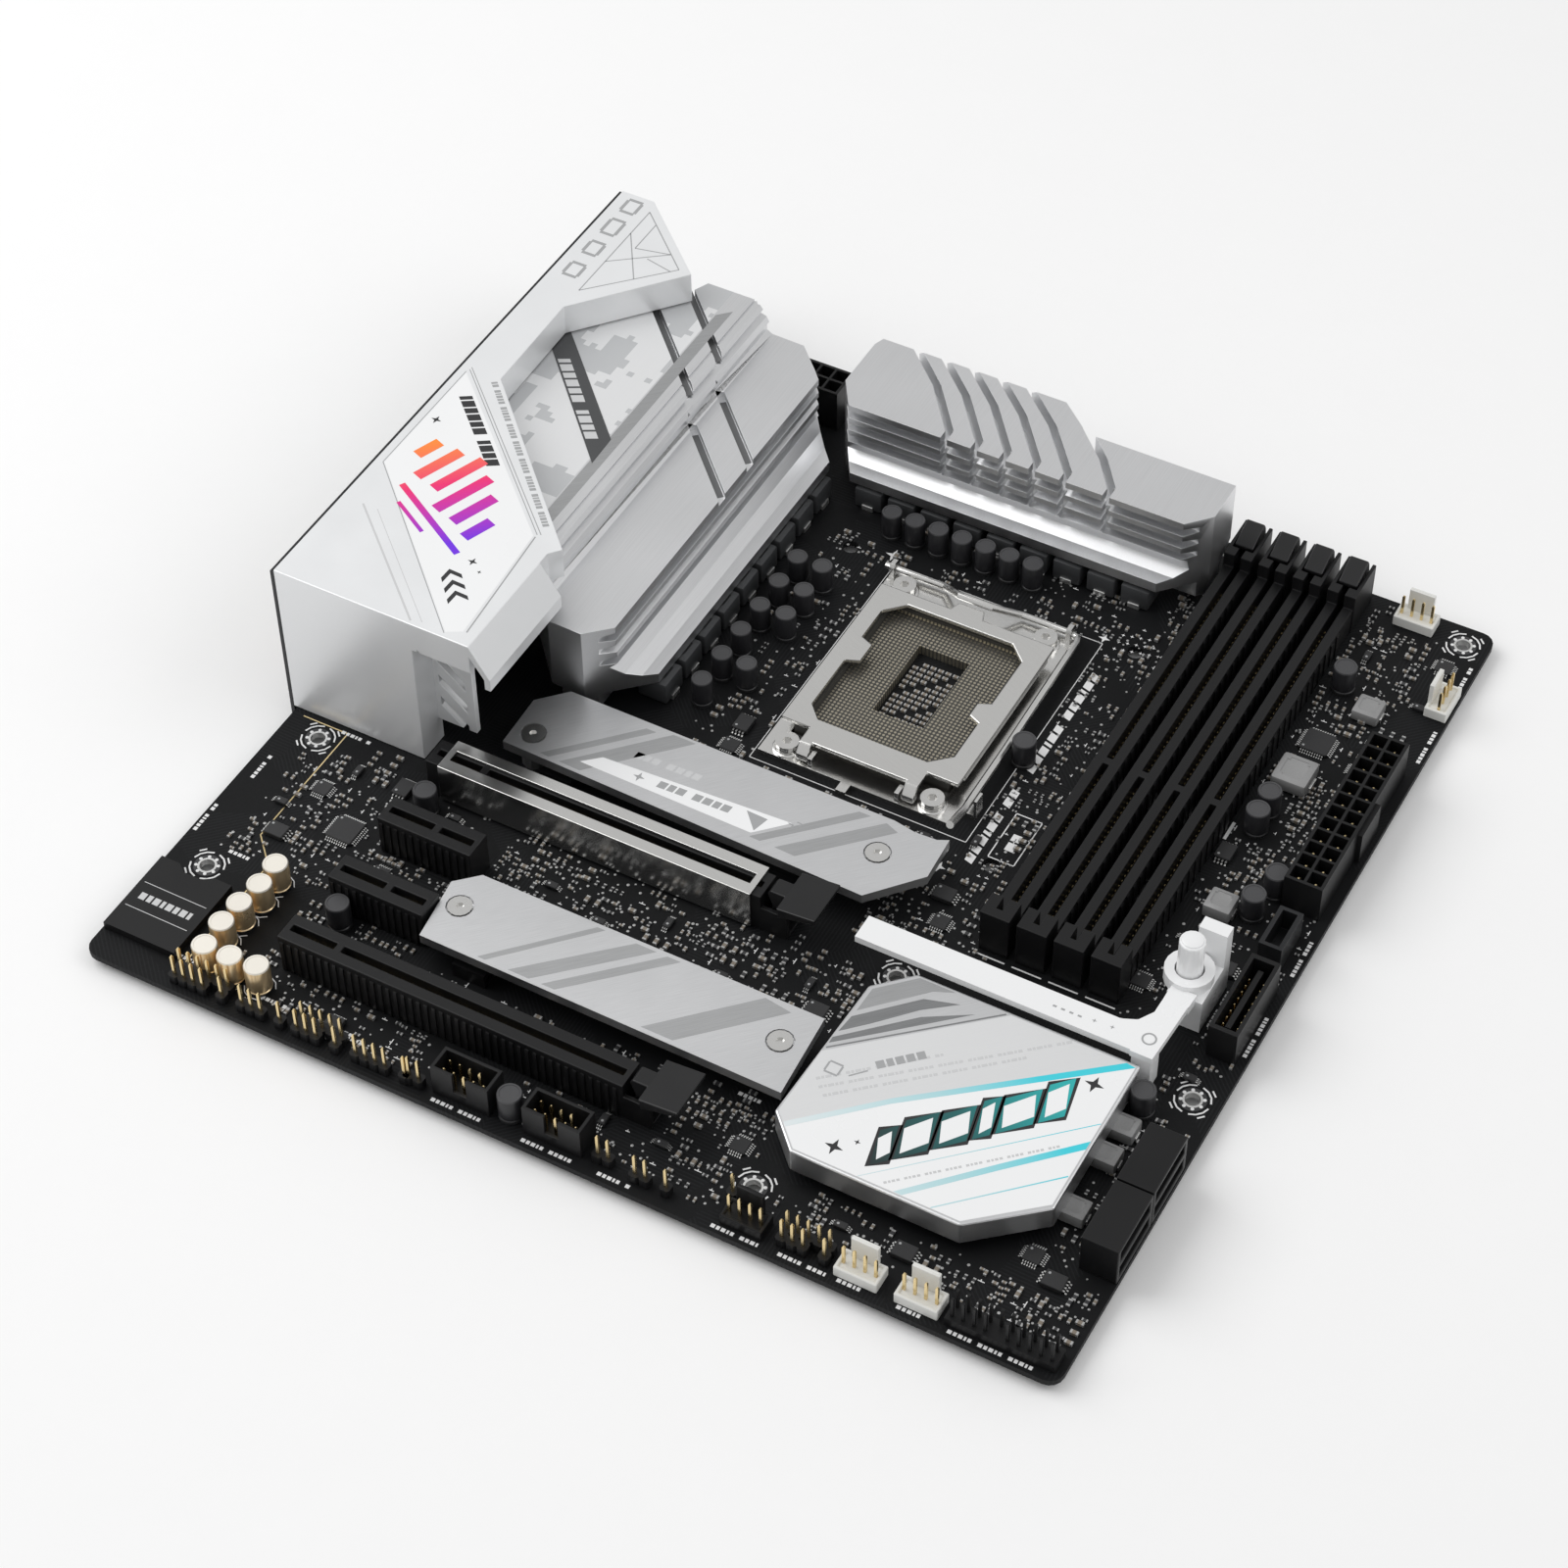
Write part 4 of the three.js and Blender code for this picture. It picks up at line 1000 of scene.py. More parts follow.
def pin(name, height, finish="gold_plate"):
    """A square post with a tapered tip."""
    half = PIN / 2
    post = start_block(name, (-half, -half, 0), (half, half, height - 0.4))
    pick_faces(post, lambda centre, normal: normal.z > 0.9)
    extrude(0, 0, 0.4)
    bpy.ops.transform.resize(value=(0.45, 0.45, 1), center_override=(0, 0, height * MM))
    bpy.ops.object.mode_set(mode="OBJECT")
    wear_finish(post, [finish])
    return post


def header_cell(name):
    """One cell of a header's moulded strip, with cut corners."""
    half = HEADER_PITCH / 2
    cut = 0.5
    piece = start_outline(name, [(-half, -half + cut), (-half + cut, -half), (half - cut, -half),
                                 (half, -half + cut), (half, half - cut), (half - cut, half),
                                 (-half + cut, half), (-half, half - cut)], 0, 2.5)
    wear_finish(piece, ["black_moulding"])
    return piece


def make_pin_headers():
    for number, (x, y, columns, rows) in enumerate(PIN_HEADERS, 1):
        places = [here(x + (i + 0.5) * HEADER_PITCH, y + (j + 0.5) * HEADER_PITCH)
                  for i in range(columns) for j in range(rows) if (i, j) != (columns - 2, 0) or columns < 4]
        joined_copies(f"header_strip_{number}", header_cell("cell"), places)
        joined_copies(f"header_pins_{number}", pin("pin", 8.4), places)


def fan_header(name, finish):
    """A four-pin fan connector: moulded base, a tall back tab and its pins."""
    base = start_block(name, (-5.1, -2.8, 0), (5.1, 2.8, 3.0))
    pick_faces(base, lambda centre, normal: normal.z > 0.9)
    inset(0.8)
    extrude(0, 0, -0.5)
    bpy.ops.object.mode_set(mode="OBJECT")
    tab = start_block(name + "_tab", (-3.2, 1.7, 2.6), (3.2, 2.8, 8.8))
    pick_faces(tab, lambda centre, normal: normal.z > 0.9)
    inset(0.3)
    extrude(0, 0, 0.2)
    bpy.ops.object.mode_set(mode="OBJECT")
    for piece in (base, tab):
        round_edges(piece, 0.2, 1)
        wear_finish(piece, [finish])
    pins = []
    for index in range(4):
        post = pin(name + "_pin", 8.2)
        post.data.transform(Matrix.Translation(((index - 1.5) * 2.54 * MM, -0.4 * MM, 0)))
        pins.append(post)
    return join_pieces(name, [base, tab] + pins)


def make_fan_headers():
    for number, (x, y, turn, finish) in enumerate(FAN_HEADERS, 1):
        separate_copies(f"fan_header_{number}", fan_header("fan_header", finish), [here(x, y, turn=turn)])


def make_connector_contacts():
    """Pins inside the boxed headers and the two power connectors."""
    boxed = []
    for node in ("usb2_header_1", "usb2_header_2"):
        x0, y0, x1, y1 = plan(node)
        for i in range(5):
            for j in range(2):
                if (i, j) != (4, 1):
                    boxed.append(here((x0 + x1) / 2 + (i - 2) * HEADER_PITCH,
                                      (y0 + y1) / 2 + (j - 0.5) * HEADER_PITCH, 1.5))
    joined_copies("usb2_pins", pin("pin", 5.8), boxed)
    wide = []
    x0, y0, x1, y1 = plan("usb3_header")
    for i in range(9):
        for side in (-1, 1):
            wide.append(here((x0 + x1) / 2 + side * 1.75, y0 + 2.6 + i * 2.0, 1.5))
    joined_copies("usb3_pins", pin("pin", 5.4), wide)
    power = []
    for node, columns, rows in (("power_main", 2, 12), ("power_cpu", 4, 2)):
        x0, y0, x1, y1 = plan(node)
        for i in range(columns):
            for j in range(rows):
                power.append(here(x0 + 0.45 + (i + 0.5) * 4.2, y0 + 0.45 + (j + 0.5) * 4.2, 2.2,
                                  scale=(1.5, 1.5, 1)))
    joined_copies("power_pins", pin("pin", 6.4), power)


# ---- slots ----

def contact(name, length, height):
    """A bowed spring contact that leans into a slot."""
    piece = start_block(name, (-length / 2, 0, 0), (length / 2, 0.16, height))
    pick_faces(piece, lambda centre, normal: normal.z > 0.9)
    extrude(0, 0.22, 0.5)
    leave_edit()
    wear_finish(piece, ["gold_plate"])
    return piece


def rib(name, width, depth, height):
    """A moulded rib with a slanted top."""
    piece = start_block(name, (-width / 2, 0, 0), (width / 2, depth, height - depth))
    pick_faces(piece, lambda centre, normal: normal.z > 0.9)
    extrude(0, 0, depth)
    bpy.ops.transform.resize(value=(1, 0.35, 1), center_override=(0, 0, 0))
    bpy.ops.object.mode_set(mode="OBJECT")
    wear_finish(piece, ["black_moulding"])
    return piece


EXPANSION_SLOTS = {"pcie_slot_long_1": 89, "pcie_slot_short_1": 25, "pcie_slot_short_2": 25,
                   "pcie_slot_long_2": 89}


def make_slot_details():
    """Contacts in the expansion slots and memory slots, and the ribs along their walls."""
    contacts, ribs = [], []
    for node, length in EXPANSION_SLOTS.items():
        x0, y0, x1, y1 = plan(node)
        middle = (y0 + y1) / 2
        for i in range(int(length - 4)):
            x = x0 + 2.2 + i
            if abs(x - x0 - 14) > 1.4:
                contacts.append(here(x, middle - 0.86, 4.2))
                contacts.append(here(x, middle + 0.86, 4.2, turn=180))
        if node != "pcie_slot_long_1":
            for i in range(int(length / 2)):
                x = x0 + 1 + 2.0 * i
                ribs.append(here(x, y1 - 0.02, 0.2))
                ribs.append(here(x, y0 + 0.02, 0.2, turn=180))
    joined_copies("expansion_contacts", contact("contact", 0.45, 3.0), contacts)
    joined_copies("expansion_ribs", rib("rib", 0.9, 0.35, 9.4), ribs)
    contacts, ribs = [], []
    for number in range(1, 5):
        x0, y0, x1, y1 = plan(f"dimm_slot_{number}")
        middle = (x0 + x1) / 2
        count = int((y1 - y0 - 26) / 1.7)
        for i in range(count):
            y = y0 + 7.6 + i * 1.7
            if abs(y - 155.6) > 1.6:
                contacts.append(here(middle - 0.76, y, 3.0, turn=-90))
                contacts.append(here(middle + 0.76, y, 3.0, turn=90))
            if i % 2 == 0:
                ribs.append(here(middle + 3.28, y, 0.1, turn=-90))
                ribs.append(here(middle - 3.28, y, 0.1, turn=90))
    joined_copies("memory_contacts", contact("contact", 0.5, 1.2), contacts)
    joined_copies("memory_ribs", rib("rib", 1.4, 0.3, 7.0), ribs)


# ---- processor socket ----

def make_socket_details():
    """The small parts on the land inside the contact bed, and the washers round the socket screws."""
    x0, y0, x1, y1 = plan("cpu_socket")
    middle_x, middle_y = (x0 + x1) / 2, (y0 + y1) / 2
    places = []
    for i in range(6):
        for j in range(13):
            if (i * 7 + j * 5) % 6 != 0:
                places.append(here(middle_x - 5.2 + 2.0 * i, middle_y - 10.4 + 1.75 * j, 0.0, scale=0.95))
    pattern = small_part("land_part", "ceramic", 1.5, 0.9, 0.7)
    joined_copies("socket_land_parts", pattern, places)
    ring = turned("screw_washer", [(3.6, 1.5), (3.6, 1.9), (3.3, 2.05), (2.95, 2.05), (2.95, 1.5)],
                  sides=28, closed=True)
    wear_finish(ring, ["bright_steel"])
    places = []
    for number in range(1, 5):
        a, b, c, d = plan(f"socket_screw_{number}")
        places.append(here((a + c) / 2, (b + d) / 2))
    separate_copies("socket_washer", ring, places)


LEVER_LINE = [
    (102.9, 193.4, 3.2), (112, 193.4, 3.2), (119.2, 193.4, 3.2), (122.6, 191.2, 5.0), (125.4, 188.9, 6.9),
    (130, 188.7, 7.1), (134.2, 188.9, 6.9), (137.0, 191.2, 5.0), (140.2, 193.4, 3.2), (146, 193.4, 3.2),
    (153.2, 193.4, 3.2), (155.4, 192.6, 3.3), (156.0, 190.6, 3.5), (156.5, 170, 3.9), (157.0, 150, 4.2),
    (157.2, 134, 4.5), (157.7, 128, 5.6), (158.3, 123, 8.2), (159.0, 117.6, 10.9),
]


def make_lever():
    """The load lever as one smooth bent wire with round ends."""
    clear_selection()
    bpy.ops.curve.primitive_nurbs_path_add()
    wire = bpy.context.object
    wire.name = "load_lever_wire"
    curve = wire.data
    curve.splines.clear()
    line = curve.splines.new("POLY")
    line.points.add(len(LEVER_LINE) - 1)
    for point, place in zip(line.points, LEVER_LINE):
        point.co = (*at(*place), 1)
    curve.bevel_depth = 0.95 * MM
    curve.bevel_resolution = 3
    curve.use_fill_caps = True
    wire.location = (0, 0, 0)
    make_active(wire)
    bpy.ops.object.convert(target="MESH")
    wire = bpy.context.object
    edit_all()
    bpy.ops.mesh.remove_doubles(threshold=0.001 * MM)
    leave_edit()
    wear_finish(wire, ["bright_steel"])
    complete(wire, "load_lever")
    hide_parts("load_lever")


# ---- board prints ----

HOLES = [(10.16, 34.29), (10.16, 80.01), (33.02, 237.49), (165.1, 14.3), (165.1, 80.01), (165.1, 237.49),
         (237.49, 80.01), (237.49, 237.49)]


def make_hole_pads():
    """Tinned rings round the mounting holes, a circle of solder dots and the broken rings printed outside."""
    ring = turned("hole_ring", [(3.2, -0.02), (3.2, 0.05), (2.05, 0.05), (2.05, -0.02)], sides=32,
                  closed=True)
    wear_finish(ring, ["pad_grey"])
    joined_copies("hole_rings", ring, [here(x, y) for x, y in HOLES])
    ring = turned("hole_ring", [(3.2, -1.58), (2.05, -1.58), (2.05, -1.66), (3.2, -1.66)], sides=32,
                  closed=True)
    wear_finish(ring, ["solder_tin"])
    joined_copies("hole_rings_under", ring, [here(x, y) for x, y in HOLES])
    dots, outlines = [], []
    for x, y in HOLES:
        for step in range(8):
            angle = math.radians(22.5 + 45 * step)
            dots.append(here(x + 2.62 * math.cos(angle), y + 2.62 * math.sin(angle), 0.04, scale=1.2))
        outlines += arc_strips(x, y, 4.1, (10, 100, 190, 280), 70, 0.4)
        outlines += arc_strips(x, y, 5.1, (35, 125, 215, 305), 20, 0.4, steps=1)
    dot = turned("hole_dot", [(0.36, -0.02), (0.36, 0.06), (0.2, 0.1)], sides=8)
    wear_finish(dot, ["print_white"])
    joined_copies("hole_dots", dot, dots)
    sleeve = turned("hole_sleeve", [(1.97, -1.6), (1.97, 0.06), (2.3, 0.06), (2.3, 0.1), (1.8, 0.1),
                                    (1.8, -1.6)],
                    sides=28, closed=True)
    wear_finish(sleeve, ["solder_tin"])
    joined_copies("hole_sleeves", sleeve, [here(x, y) for x, y in HOLES])
    print_on("hole_marks", outlines, 0.0, "print_white", 0.02)


# Rows of small label blocks: x and y of one end, and the length. The first run along x, the others along y.
LABEL_HEIGHT, LABEL_GAP = 0.95, 0.35
LABELS_ACROSS = [
    (20, 8.6, 16), (42, 7.4, 9), (58, 7.6, 10), (92, 1.2, 13), (115, 1.1, 13), (134, 1.2, 9),
    (162, 1.0, 12), (178, 1.2, 12), (192, 1.3, 8), (206, 1.3, 8), (218, 0.9, 20), (65, 6.8, 8),
    (12, 40, 8), (14, 84, 9), (64, 86.6, 12), (150, 118.6, 9), (150, 34.4, 7), (104, 213.2, 10),
]
LABELS_ALONG = [
    (243.0, 30, 12), (243.0, 48, 10), (243.0, 96, 14), (243.0, 122, 12), (243.0, 196, 12), (1.6, 42, 10),
    (232.6, 100, 12), (231.4, 160, 14), (4.0, 62, 9), (242.6, 222, 10), (177.0, 100, 16),
]


def plain_marks():
    """Label-like blocks, frames and dots printed on the board, with no letters in them."""
    big, small = (2.6, 2.2, 2.6, 0.9, 2.6, 2.2, -1.6), (1.0, 0.8, 1.0, 0.5, 0.8, -0.8)
    marks = tick_row((164.6, 118), (164.6, 146), 2.1, big, 0.7, 0.6)
    marks += tick_row((164.6, 150), (164.6, 190), 2.1, big, 0.7, 0.6)
    marks += frame_strips(166.8, 122, 173.4, 137, 0.3)
    marks += tick_row((171.3, 125.6), (171.3, 133.6), 2.2, big, 0.6)
    for x, y, length in LABELS_ACROSS:
        marks += tick_row((x, y), (x + length, y), LABEL_HEIGHT, small, LABEL_GAP)
    for x, y, length in LABELS_ALONG:
        marks += tick_row((x, y), (x, y + length), LABEL_HEIGHT, small, LABEL_GAP)
    for number in range(1, 5):
        x0, y0, x1, y1 = plan(f"dimm_slot_{number}")
        marks += [rectangle(x1 + 0.15, 152.6, x1 + 0.95, 158.4), rectangle(x0, y0 - 1.6, x1, y0 - 1.2)]
    for row in range(3):
        for column in range(6 - row):
            marks.append(diamond(163.6 + 2.1 * column, 196.6 + 2.6 * row + column * 0.5, 0.55))
    marks += [diamond(101.4, 200.2, 2.2), diamond(101.4, 119.4, 2.6), diamond(160.0, 198.6, 1.6),
              diamond(158.4, 113.8, 1.7)]
    marks += frame_strips(103.2, 123.4, 160.4, 196.8, 0.22)
    marks += [chevron(107.4 - 2.4 * i, 118.6, 1.5, 0.8, 135) for i in range(3)]
    for x, y in AUDIO_CAPS:
        marks += arc_strips(x, y, 3.6, (200, 20), 120, 0.25, steps=4)
    return marks


def make_board_prints():
    print_on("board_print", plain_marks(), 0.0, "print_white", 0.02)
    guard = [strip(a, b, 0.32) for a, b in (
        ((22.5, 4.0), (22.5, 41.0)), ((22.5, 41.0), (15.6, 48.0)), ((15.6, 48.0), (15.6, 84.6)),
        ((15.6, 84.6), (3.0, 84.6)))]
    print_on("audio_guard_line", guard, 0.0, "gold_plate", 0.015)
    print_on("audio_cover_print", tick_row((3.2, 17.2), (17.6, 17.2), 2.0, (1.6, 1.2, 1.6, 0.9), 0.5)
             + [strip((1.8, 14.4), (18.8, 14.4), 0.18), strip((1.8, 22.0), (18.8, 22.0), 0.18)],
             top_of("audio_cover"), "print_light_grey", 0.02)


# ---- prints on the shroud, heatsinks and covers ----

def make_shroud_prints():
    z = top_of("io_shroud")
    print_on("shroud_panel", [[(1.5, 129.5), (1.5, 166), (46, 124.5), (48.5, 90), (45, 88)]],
             z, "pale_print_and_painted_highlight", 0.03)
    over = z + 0.03
    print_on("shroud_edge_lines", [
        strip((1.6, 167.4), (46.6, 125.2), 0.22), strip((1.6, 168.3), (47.4, 125.6), 0.22),
        strip((46.6, 124.4), (49.3, 90.2), 0.35), strip((1.2, 129.5), (1.2, 166.4), 0.22),
        strip((1.2, 129.4), (44.8, 87.7), 0.22)], z, "print_grey", 0.02)
    print_on("shroud_faint_line", [strip((5, 115), (36, 87.4), 0.5), strip((9, 115), (38.6, 88.2), 0.18)],
             z, "print_light_grey", 0.015)
    ticks = tick_row((47.6, 129.0), (9.4, 167.2), 1.5, (0.9, 0.7, 0.9, 0.5, 0.9, -0.6), 0.32, 0.25)
    print_on("shroud_small_ticks", ticks, z, "print_grey", 0.02)
    blocks = tick_row((26.4, 141.4), (5.6, 161.0), 3.1, (2.3, 1.9, 2.3, 1.3, -1.4, 2.3, 1.9), 0.5, 0.8)
    blocks += [chevron(37.4 + 2.5 * i, 103.0 - 2.7 * i, 2.4, 1.5, 133) for i in range(3)]
    blocks += [diamond(4.3, 148, 1.4), diamond(38.2, 110.4, 1.3), diamond(41.4, 108.2, 0.6)]
    print_on("shroud_black_marks", blocks, over, "print_black", 0.02)
    bars = []
    for index, (start, length) in enumerate(((0, 11), (-3, 21), (3, 24), (1, 26), (7, 20), (10, 13))):
        a = Vector((8.6 + 4.6 * index, 139.4 - 4.8 * index)) + Vector((0.36, 0.93)) * (start - 8) * 0.55
        bars.append(strip(tuple(a), tuple(a + Vector((0.36, 0.93)) * length * 0.62), 3.1))
    bars += [strip((9.4, 125.0), (33.6, 111.0), 1.6), strip((12.0, 119.4), (22.4, 113.4), 1.0)]
    print_on("shroud_art_bars", bars, over, "print_sunset", 0.03)
    outlines = []
    for y, size in ((212, 5.0), (221.5, 5.0), (231, 6.0), (240.2, 5.0)):
        outlines += frame_strips(2.4, y - size / 2, 6.4, y + size / 2, 0.9)
    for a, b in (((9.6, 205.6), (9.6, 240.6)), ((9.6, 240.6), (27.6, 224.2)), ((27.6, 224.2), (9.6, 205.6)),
                 ((9.6, 231), (19.4, 215.8)), ((13.6, 236.8), (13.6, 226.4)), ((13.6, 226.4), (22.8, 228.4)),
                 ((9.6, 218.4), (22.8, 228.4)), ((18.4, 224.2), (26.0, 222.6))):
        outlines.append(strip(a, b, 0.3))
    print_on("shroud_tip_lines", outlines, z, "print_grey", 0.02)


def make_left_sink_prints():
    z = top_of("heatsink_left")
    plate = [(8.9, 201.2), (8.5, 193.0), (39.7, 160.7), (39.4, 170.2)]
    print_on("left_sink_plate", [plate], z, "print_charcoal", 0.12)
    print_on("left_sink_ticks", tick_row((36.6, 168.9), (11.6, 194.8), 3.0,
                                         (2.6, 2.0, 2.6, 1.4, -1.8, 2.6, 2.0), 0.7, 0.8),
             z + 0.12, "print_light_grey", 0.02)
    # Dark grey sheets in the grooves of the upper and lower tiers: painted shade in the grooves.
    grooves = [[(x0, total - x0), (x1, total - x1)] for total, x0,
               x1 in ((242.0, 9.0, 47.0), (256.4, 24.2, 47.0))]
    print_on("left_sink_groove_painted_shade", [strip(a, b, 1.9) for a, b in grooves], z - 2.0, "groove_painted_shade",
             0.04)
    grooves = [[(x0, total - x0), (x1, total - x1)] for total, x0,
               x1 in ((241.2, 51.0, 67.6), (255.0, 51.0, 67.6))]
    print_on("left_sink_low_groove_painted_shade", [strip(a, b, 1.9) for a, b in grooves], 26.4, "groove_painted_shade",
             0.04)
    print_on("left_sink_strip", [[(38.8, 134.0), (38.8, 222.6), (42.0, 225.8), (42.0, 130.8)]],
             z, "aluminium_mid", 0.02)


def make_chipset_prints():
    z = top_of("chipset_heatsink")
    print_on("chipset_panel", [[
        (164.0, 46.9), (195.6, 75.1), (225.7, 75.1), (225.8, 33.7), (210.8, 20.8), (171.2, 20.8),
        (163.6, 28.4),
    ]], z, "pearl_print", 0.03)
    # A near-white sheet over part of the panel: painted highlight where light glares off the chipset cover.
    print_on("chipset_painted_highlight", [[
        (166.2, 25.9), (183.9, 42.0), (225.6, 75.0), (225.7, 33.8), (210.7, 20.9), (171.2, 20.9)]],
        z + 0.02, "pale_print_and_painted_highlight", 0.02)
    print_on("chipset_dark_streaks", [
        [(164.6, 53.4), (170.0, 58.8), (177.5, 67.0), (184.6, 72.6), (176.8, 70.2), (165.2, 58.4)],
        [(164.3, 49.6), (173.2, 57.6), (188.6, 71.6), (178.6, 65.4), (164.3, 51.4)],
        strip((164.4, 48.2), (194.6, 74.9), 0.4)],
        z, "aluminium_dark", 0.02)
    print_on("chipset_mid_streak", [[(165.4, 60.4), (177.6, 73.0), (182.2, 75.1), (173.4, 75.1),
                                     (165.6, 67.4)]],
             z, "aluminium_mid", 0.02)
    over = z + 0.04
    print_on("chipset_cyan_bands", [
        [(166.0, 26.2), (167.0, 25.2), (183.9, 41.2), (225.7, 76.2 - 1.4), (223.4, 75.1), (183.6, 42.8)],
        [(195.0, 21.0), (197.0, 21.0), (212.0, 36.4), (225.7, 50.0), (225.7, 52.4), (211.0, 37.6)],
        strip((203.8, 21.0), (225.5, 41.9), 0.3), strip((186.6, 21.0), (225.6, 57.6), 0.18)],
        over, "print_cyan", 0.02)
    slants = []
    for start, length, width in ((0, 4.2, 1.9), (5.2, 7.6, 3.1), (14.0, 7.6, 2.2), (22.8, 4.0, 3.1),
                                 (28.0, 8.4, 2.2), (37.6, 6.0, 3.1)):
        a = Vector((187.4, 24.6)) + Vector((0.70, 0.714)) * start
        b = a + Vector((0.70, 0.714)) * length
        slants.append([tuple(a), tuple(b), (b.x - 2.2, b.y + width + 7.4), (a.x - 2.2, a.y + width + 7.4)])
    print_on("chipset_slant_edges", [[(x + (0.7 if i in (1, 2) else -0.7), y + (0.6 if i in (2, 3) else -0.7))
                                      for i, (x, y) in enumerate(shape)] for shape in slants],
             over, "print_black", 0.02)
    print_on("chipset_slant_bars", slants, over + 0.02, "print_teal", 0.02)
    print_on("chipset_slant_cores", [[(x + (-0.6 if i in (1, 2) else 0.6), y + (-2.1 if i in (2, 3) else 2.0))
                                      for i, (x, y) in enumerate(shape)] for shape in slants],
             over + 0.04, "pale_print_and_painted_highlight", 0.02)
    ticks = []
    for a, b in (((170.3, 36.0), (204.3, 66.2)), ((168.4, 37.6), (211.3, 75.0)),
                 ((166.8, 39.4), (189.0, 59.2))):
        ticks += tick_row(a, b, 0.7, (0.9, 0.6, 1.3, 0.6, 0.9, -0.5), 0.3)
    ticks += tick_row((192.4, 21.8), (221.0, 48.2), 0.6, (0.7, 0.5, 0.7, 0.7, -0.4), 0.3)
    print_on("chipset_small_ticks", ticks, over, "print_light_grey", 0.015)
    marks = frame_strips(167.0, 42.4, 170.2, 45.4, 0.45) + [strip((172.4, 43.6), (175.4, 46.8), 0.35)]
    marks += tick_row((177.0, 48.2), (185.4, 56.2), 2.1, (1.9, 1.5, 1.9, 1.9), 0.5)
    print_on("chipset_grey_marks", marks, over, "print_grey", 0.02)
    print_on("chipset_stars", [diamond(178.6, 25.4, 2.2), diamond(219.8, 66.5, 2.3),
                               diamond(182.4, 28.8, 0.8)],
             over, "print_black", 0.02)


def make_cover_prints():
    z = top_of("m2_cover_1")
    print_on("cover_1_dark_bands", [
        [(64.0, 93.9), (66.4, 93.7), (84.6, 112.4), (82.0, 112.4)],
        [(69.3, 93.6), (75.0, 93.4), (94.6, 113.6), (88.6, 113.6)],
        [(119.6, 94.2), (122.4, 94.1), (141.2, 112.8), (138.2, 112.8)],
        [(126.3, 94.0), (131.6, 93.8), (149.0, 111.2), (145.4, 112.6)]],
        z, "aluminium_mid", 0.02)
    print_on("cover_1_panel", [[(73.6, 95.9), (77.7, 99.6), (126.4, 102.3), (119.4, 95.3)]],
             z, "pale_print_and_painted_highlight", 0.025)
    print_on("cover_1_marks", [[(115.3, 100.9), (120.9, 100.7), (119.7, 96.2)], diamond(88.2, 98.2, 1.5)]
             + tick_row((93.2, 97.4), (113.3, 98.2), 2.1, (2.1, 1.7, 2.1, -1.2, 2.1), 0.5, 0.3)
             + [chevron(126 + 1.7 * i, 101.2 + 1.2 * i, 0.9, 0.4, 40) for i in range(2)],
             z + 0.025, "print_grey", 0.02)
    print_on("cover_1_ticks", tick_row((83.9, 103.0), (103.7, 103.6), 2.0, (1.9, 1.5, 1.9, -1.0, 1.9),
                                       0.5, 0.3),
             z, "print_light_grey", 0.02)
    z = top_of("m2_cover_2")
    print_on("cover_2_dark_bands", [
        [(84.0, 34.4), (86.0, 34.4), (105.2, 54.4), (103.2, 54.4)],
        [(92.0, 34.4), (97.4, 34.4), (118.4, 54.4), (113.2, 54.4)],
        [(100.6, 34.4), (104.0, 34.4), (124.6, 54.4), (121.2, 54.4)],
        [(126.0, 34.4), (134.0, 34.4), (153.0, 53.4), (146.0, 54.4)]],
        z, "aluminium_mid", 0.02)


def make_release_marks():
    bar_z = (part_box("release_housing")[0].z - ORIGIN.z) / MM + 11.4
    ring = turned("release_ring", [(1.7, 0), (1.7, 0.05), (1.3, 0.05), (1.3, 0)], sides=24, closed=True)
    wear_finish(ring, ["print_grey"])
    separate_copies("release_ring", ring, [here(225.4, 82.0, bar_z)])
    outlines = [diamond(212.8, 81.0, 0.6), diamond(217.0, 81.2, 0.6)]
    outlines += [strip((203.0 + 2.0 * i, 80.6), (203.9 + 2.0 * i, 80.6), 0.5) for i in range(4)]
    print_on("release_marks", outlines, bar_z, "print_grey", 0.03)
    disc = turned("button_cap", [(2.4, -0.05), (2.4, 0.25), (2.1, 0.4)], sides=28)
    wear_finish(disc, ["white_gloss"])
    x0, y0, x1, y1 = plan("release_button")
    places = [here((x0 + x1) / 2, (y0 + y1) / 2, top_of("release_button"))]
    separate_copies("button_cap", disc, places, "release_button")


# ---- rear connectors ----

def face_rear(piece, y, z, x):
    """Turns a piece from standing up to facing the rear, centred at a height on the plate."""
    piece.data.transform(Matrix.Translation(at(x, y, z)) @ Matrix.Rotation(math.radians(-90), 4, "Y"))


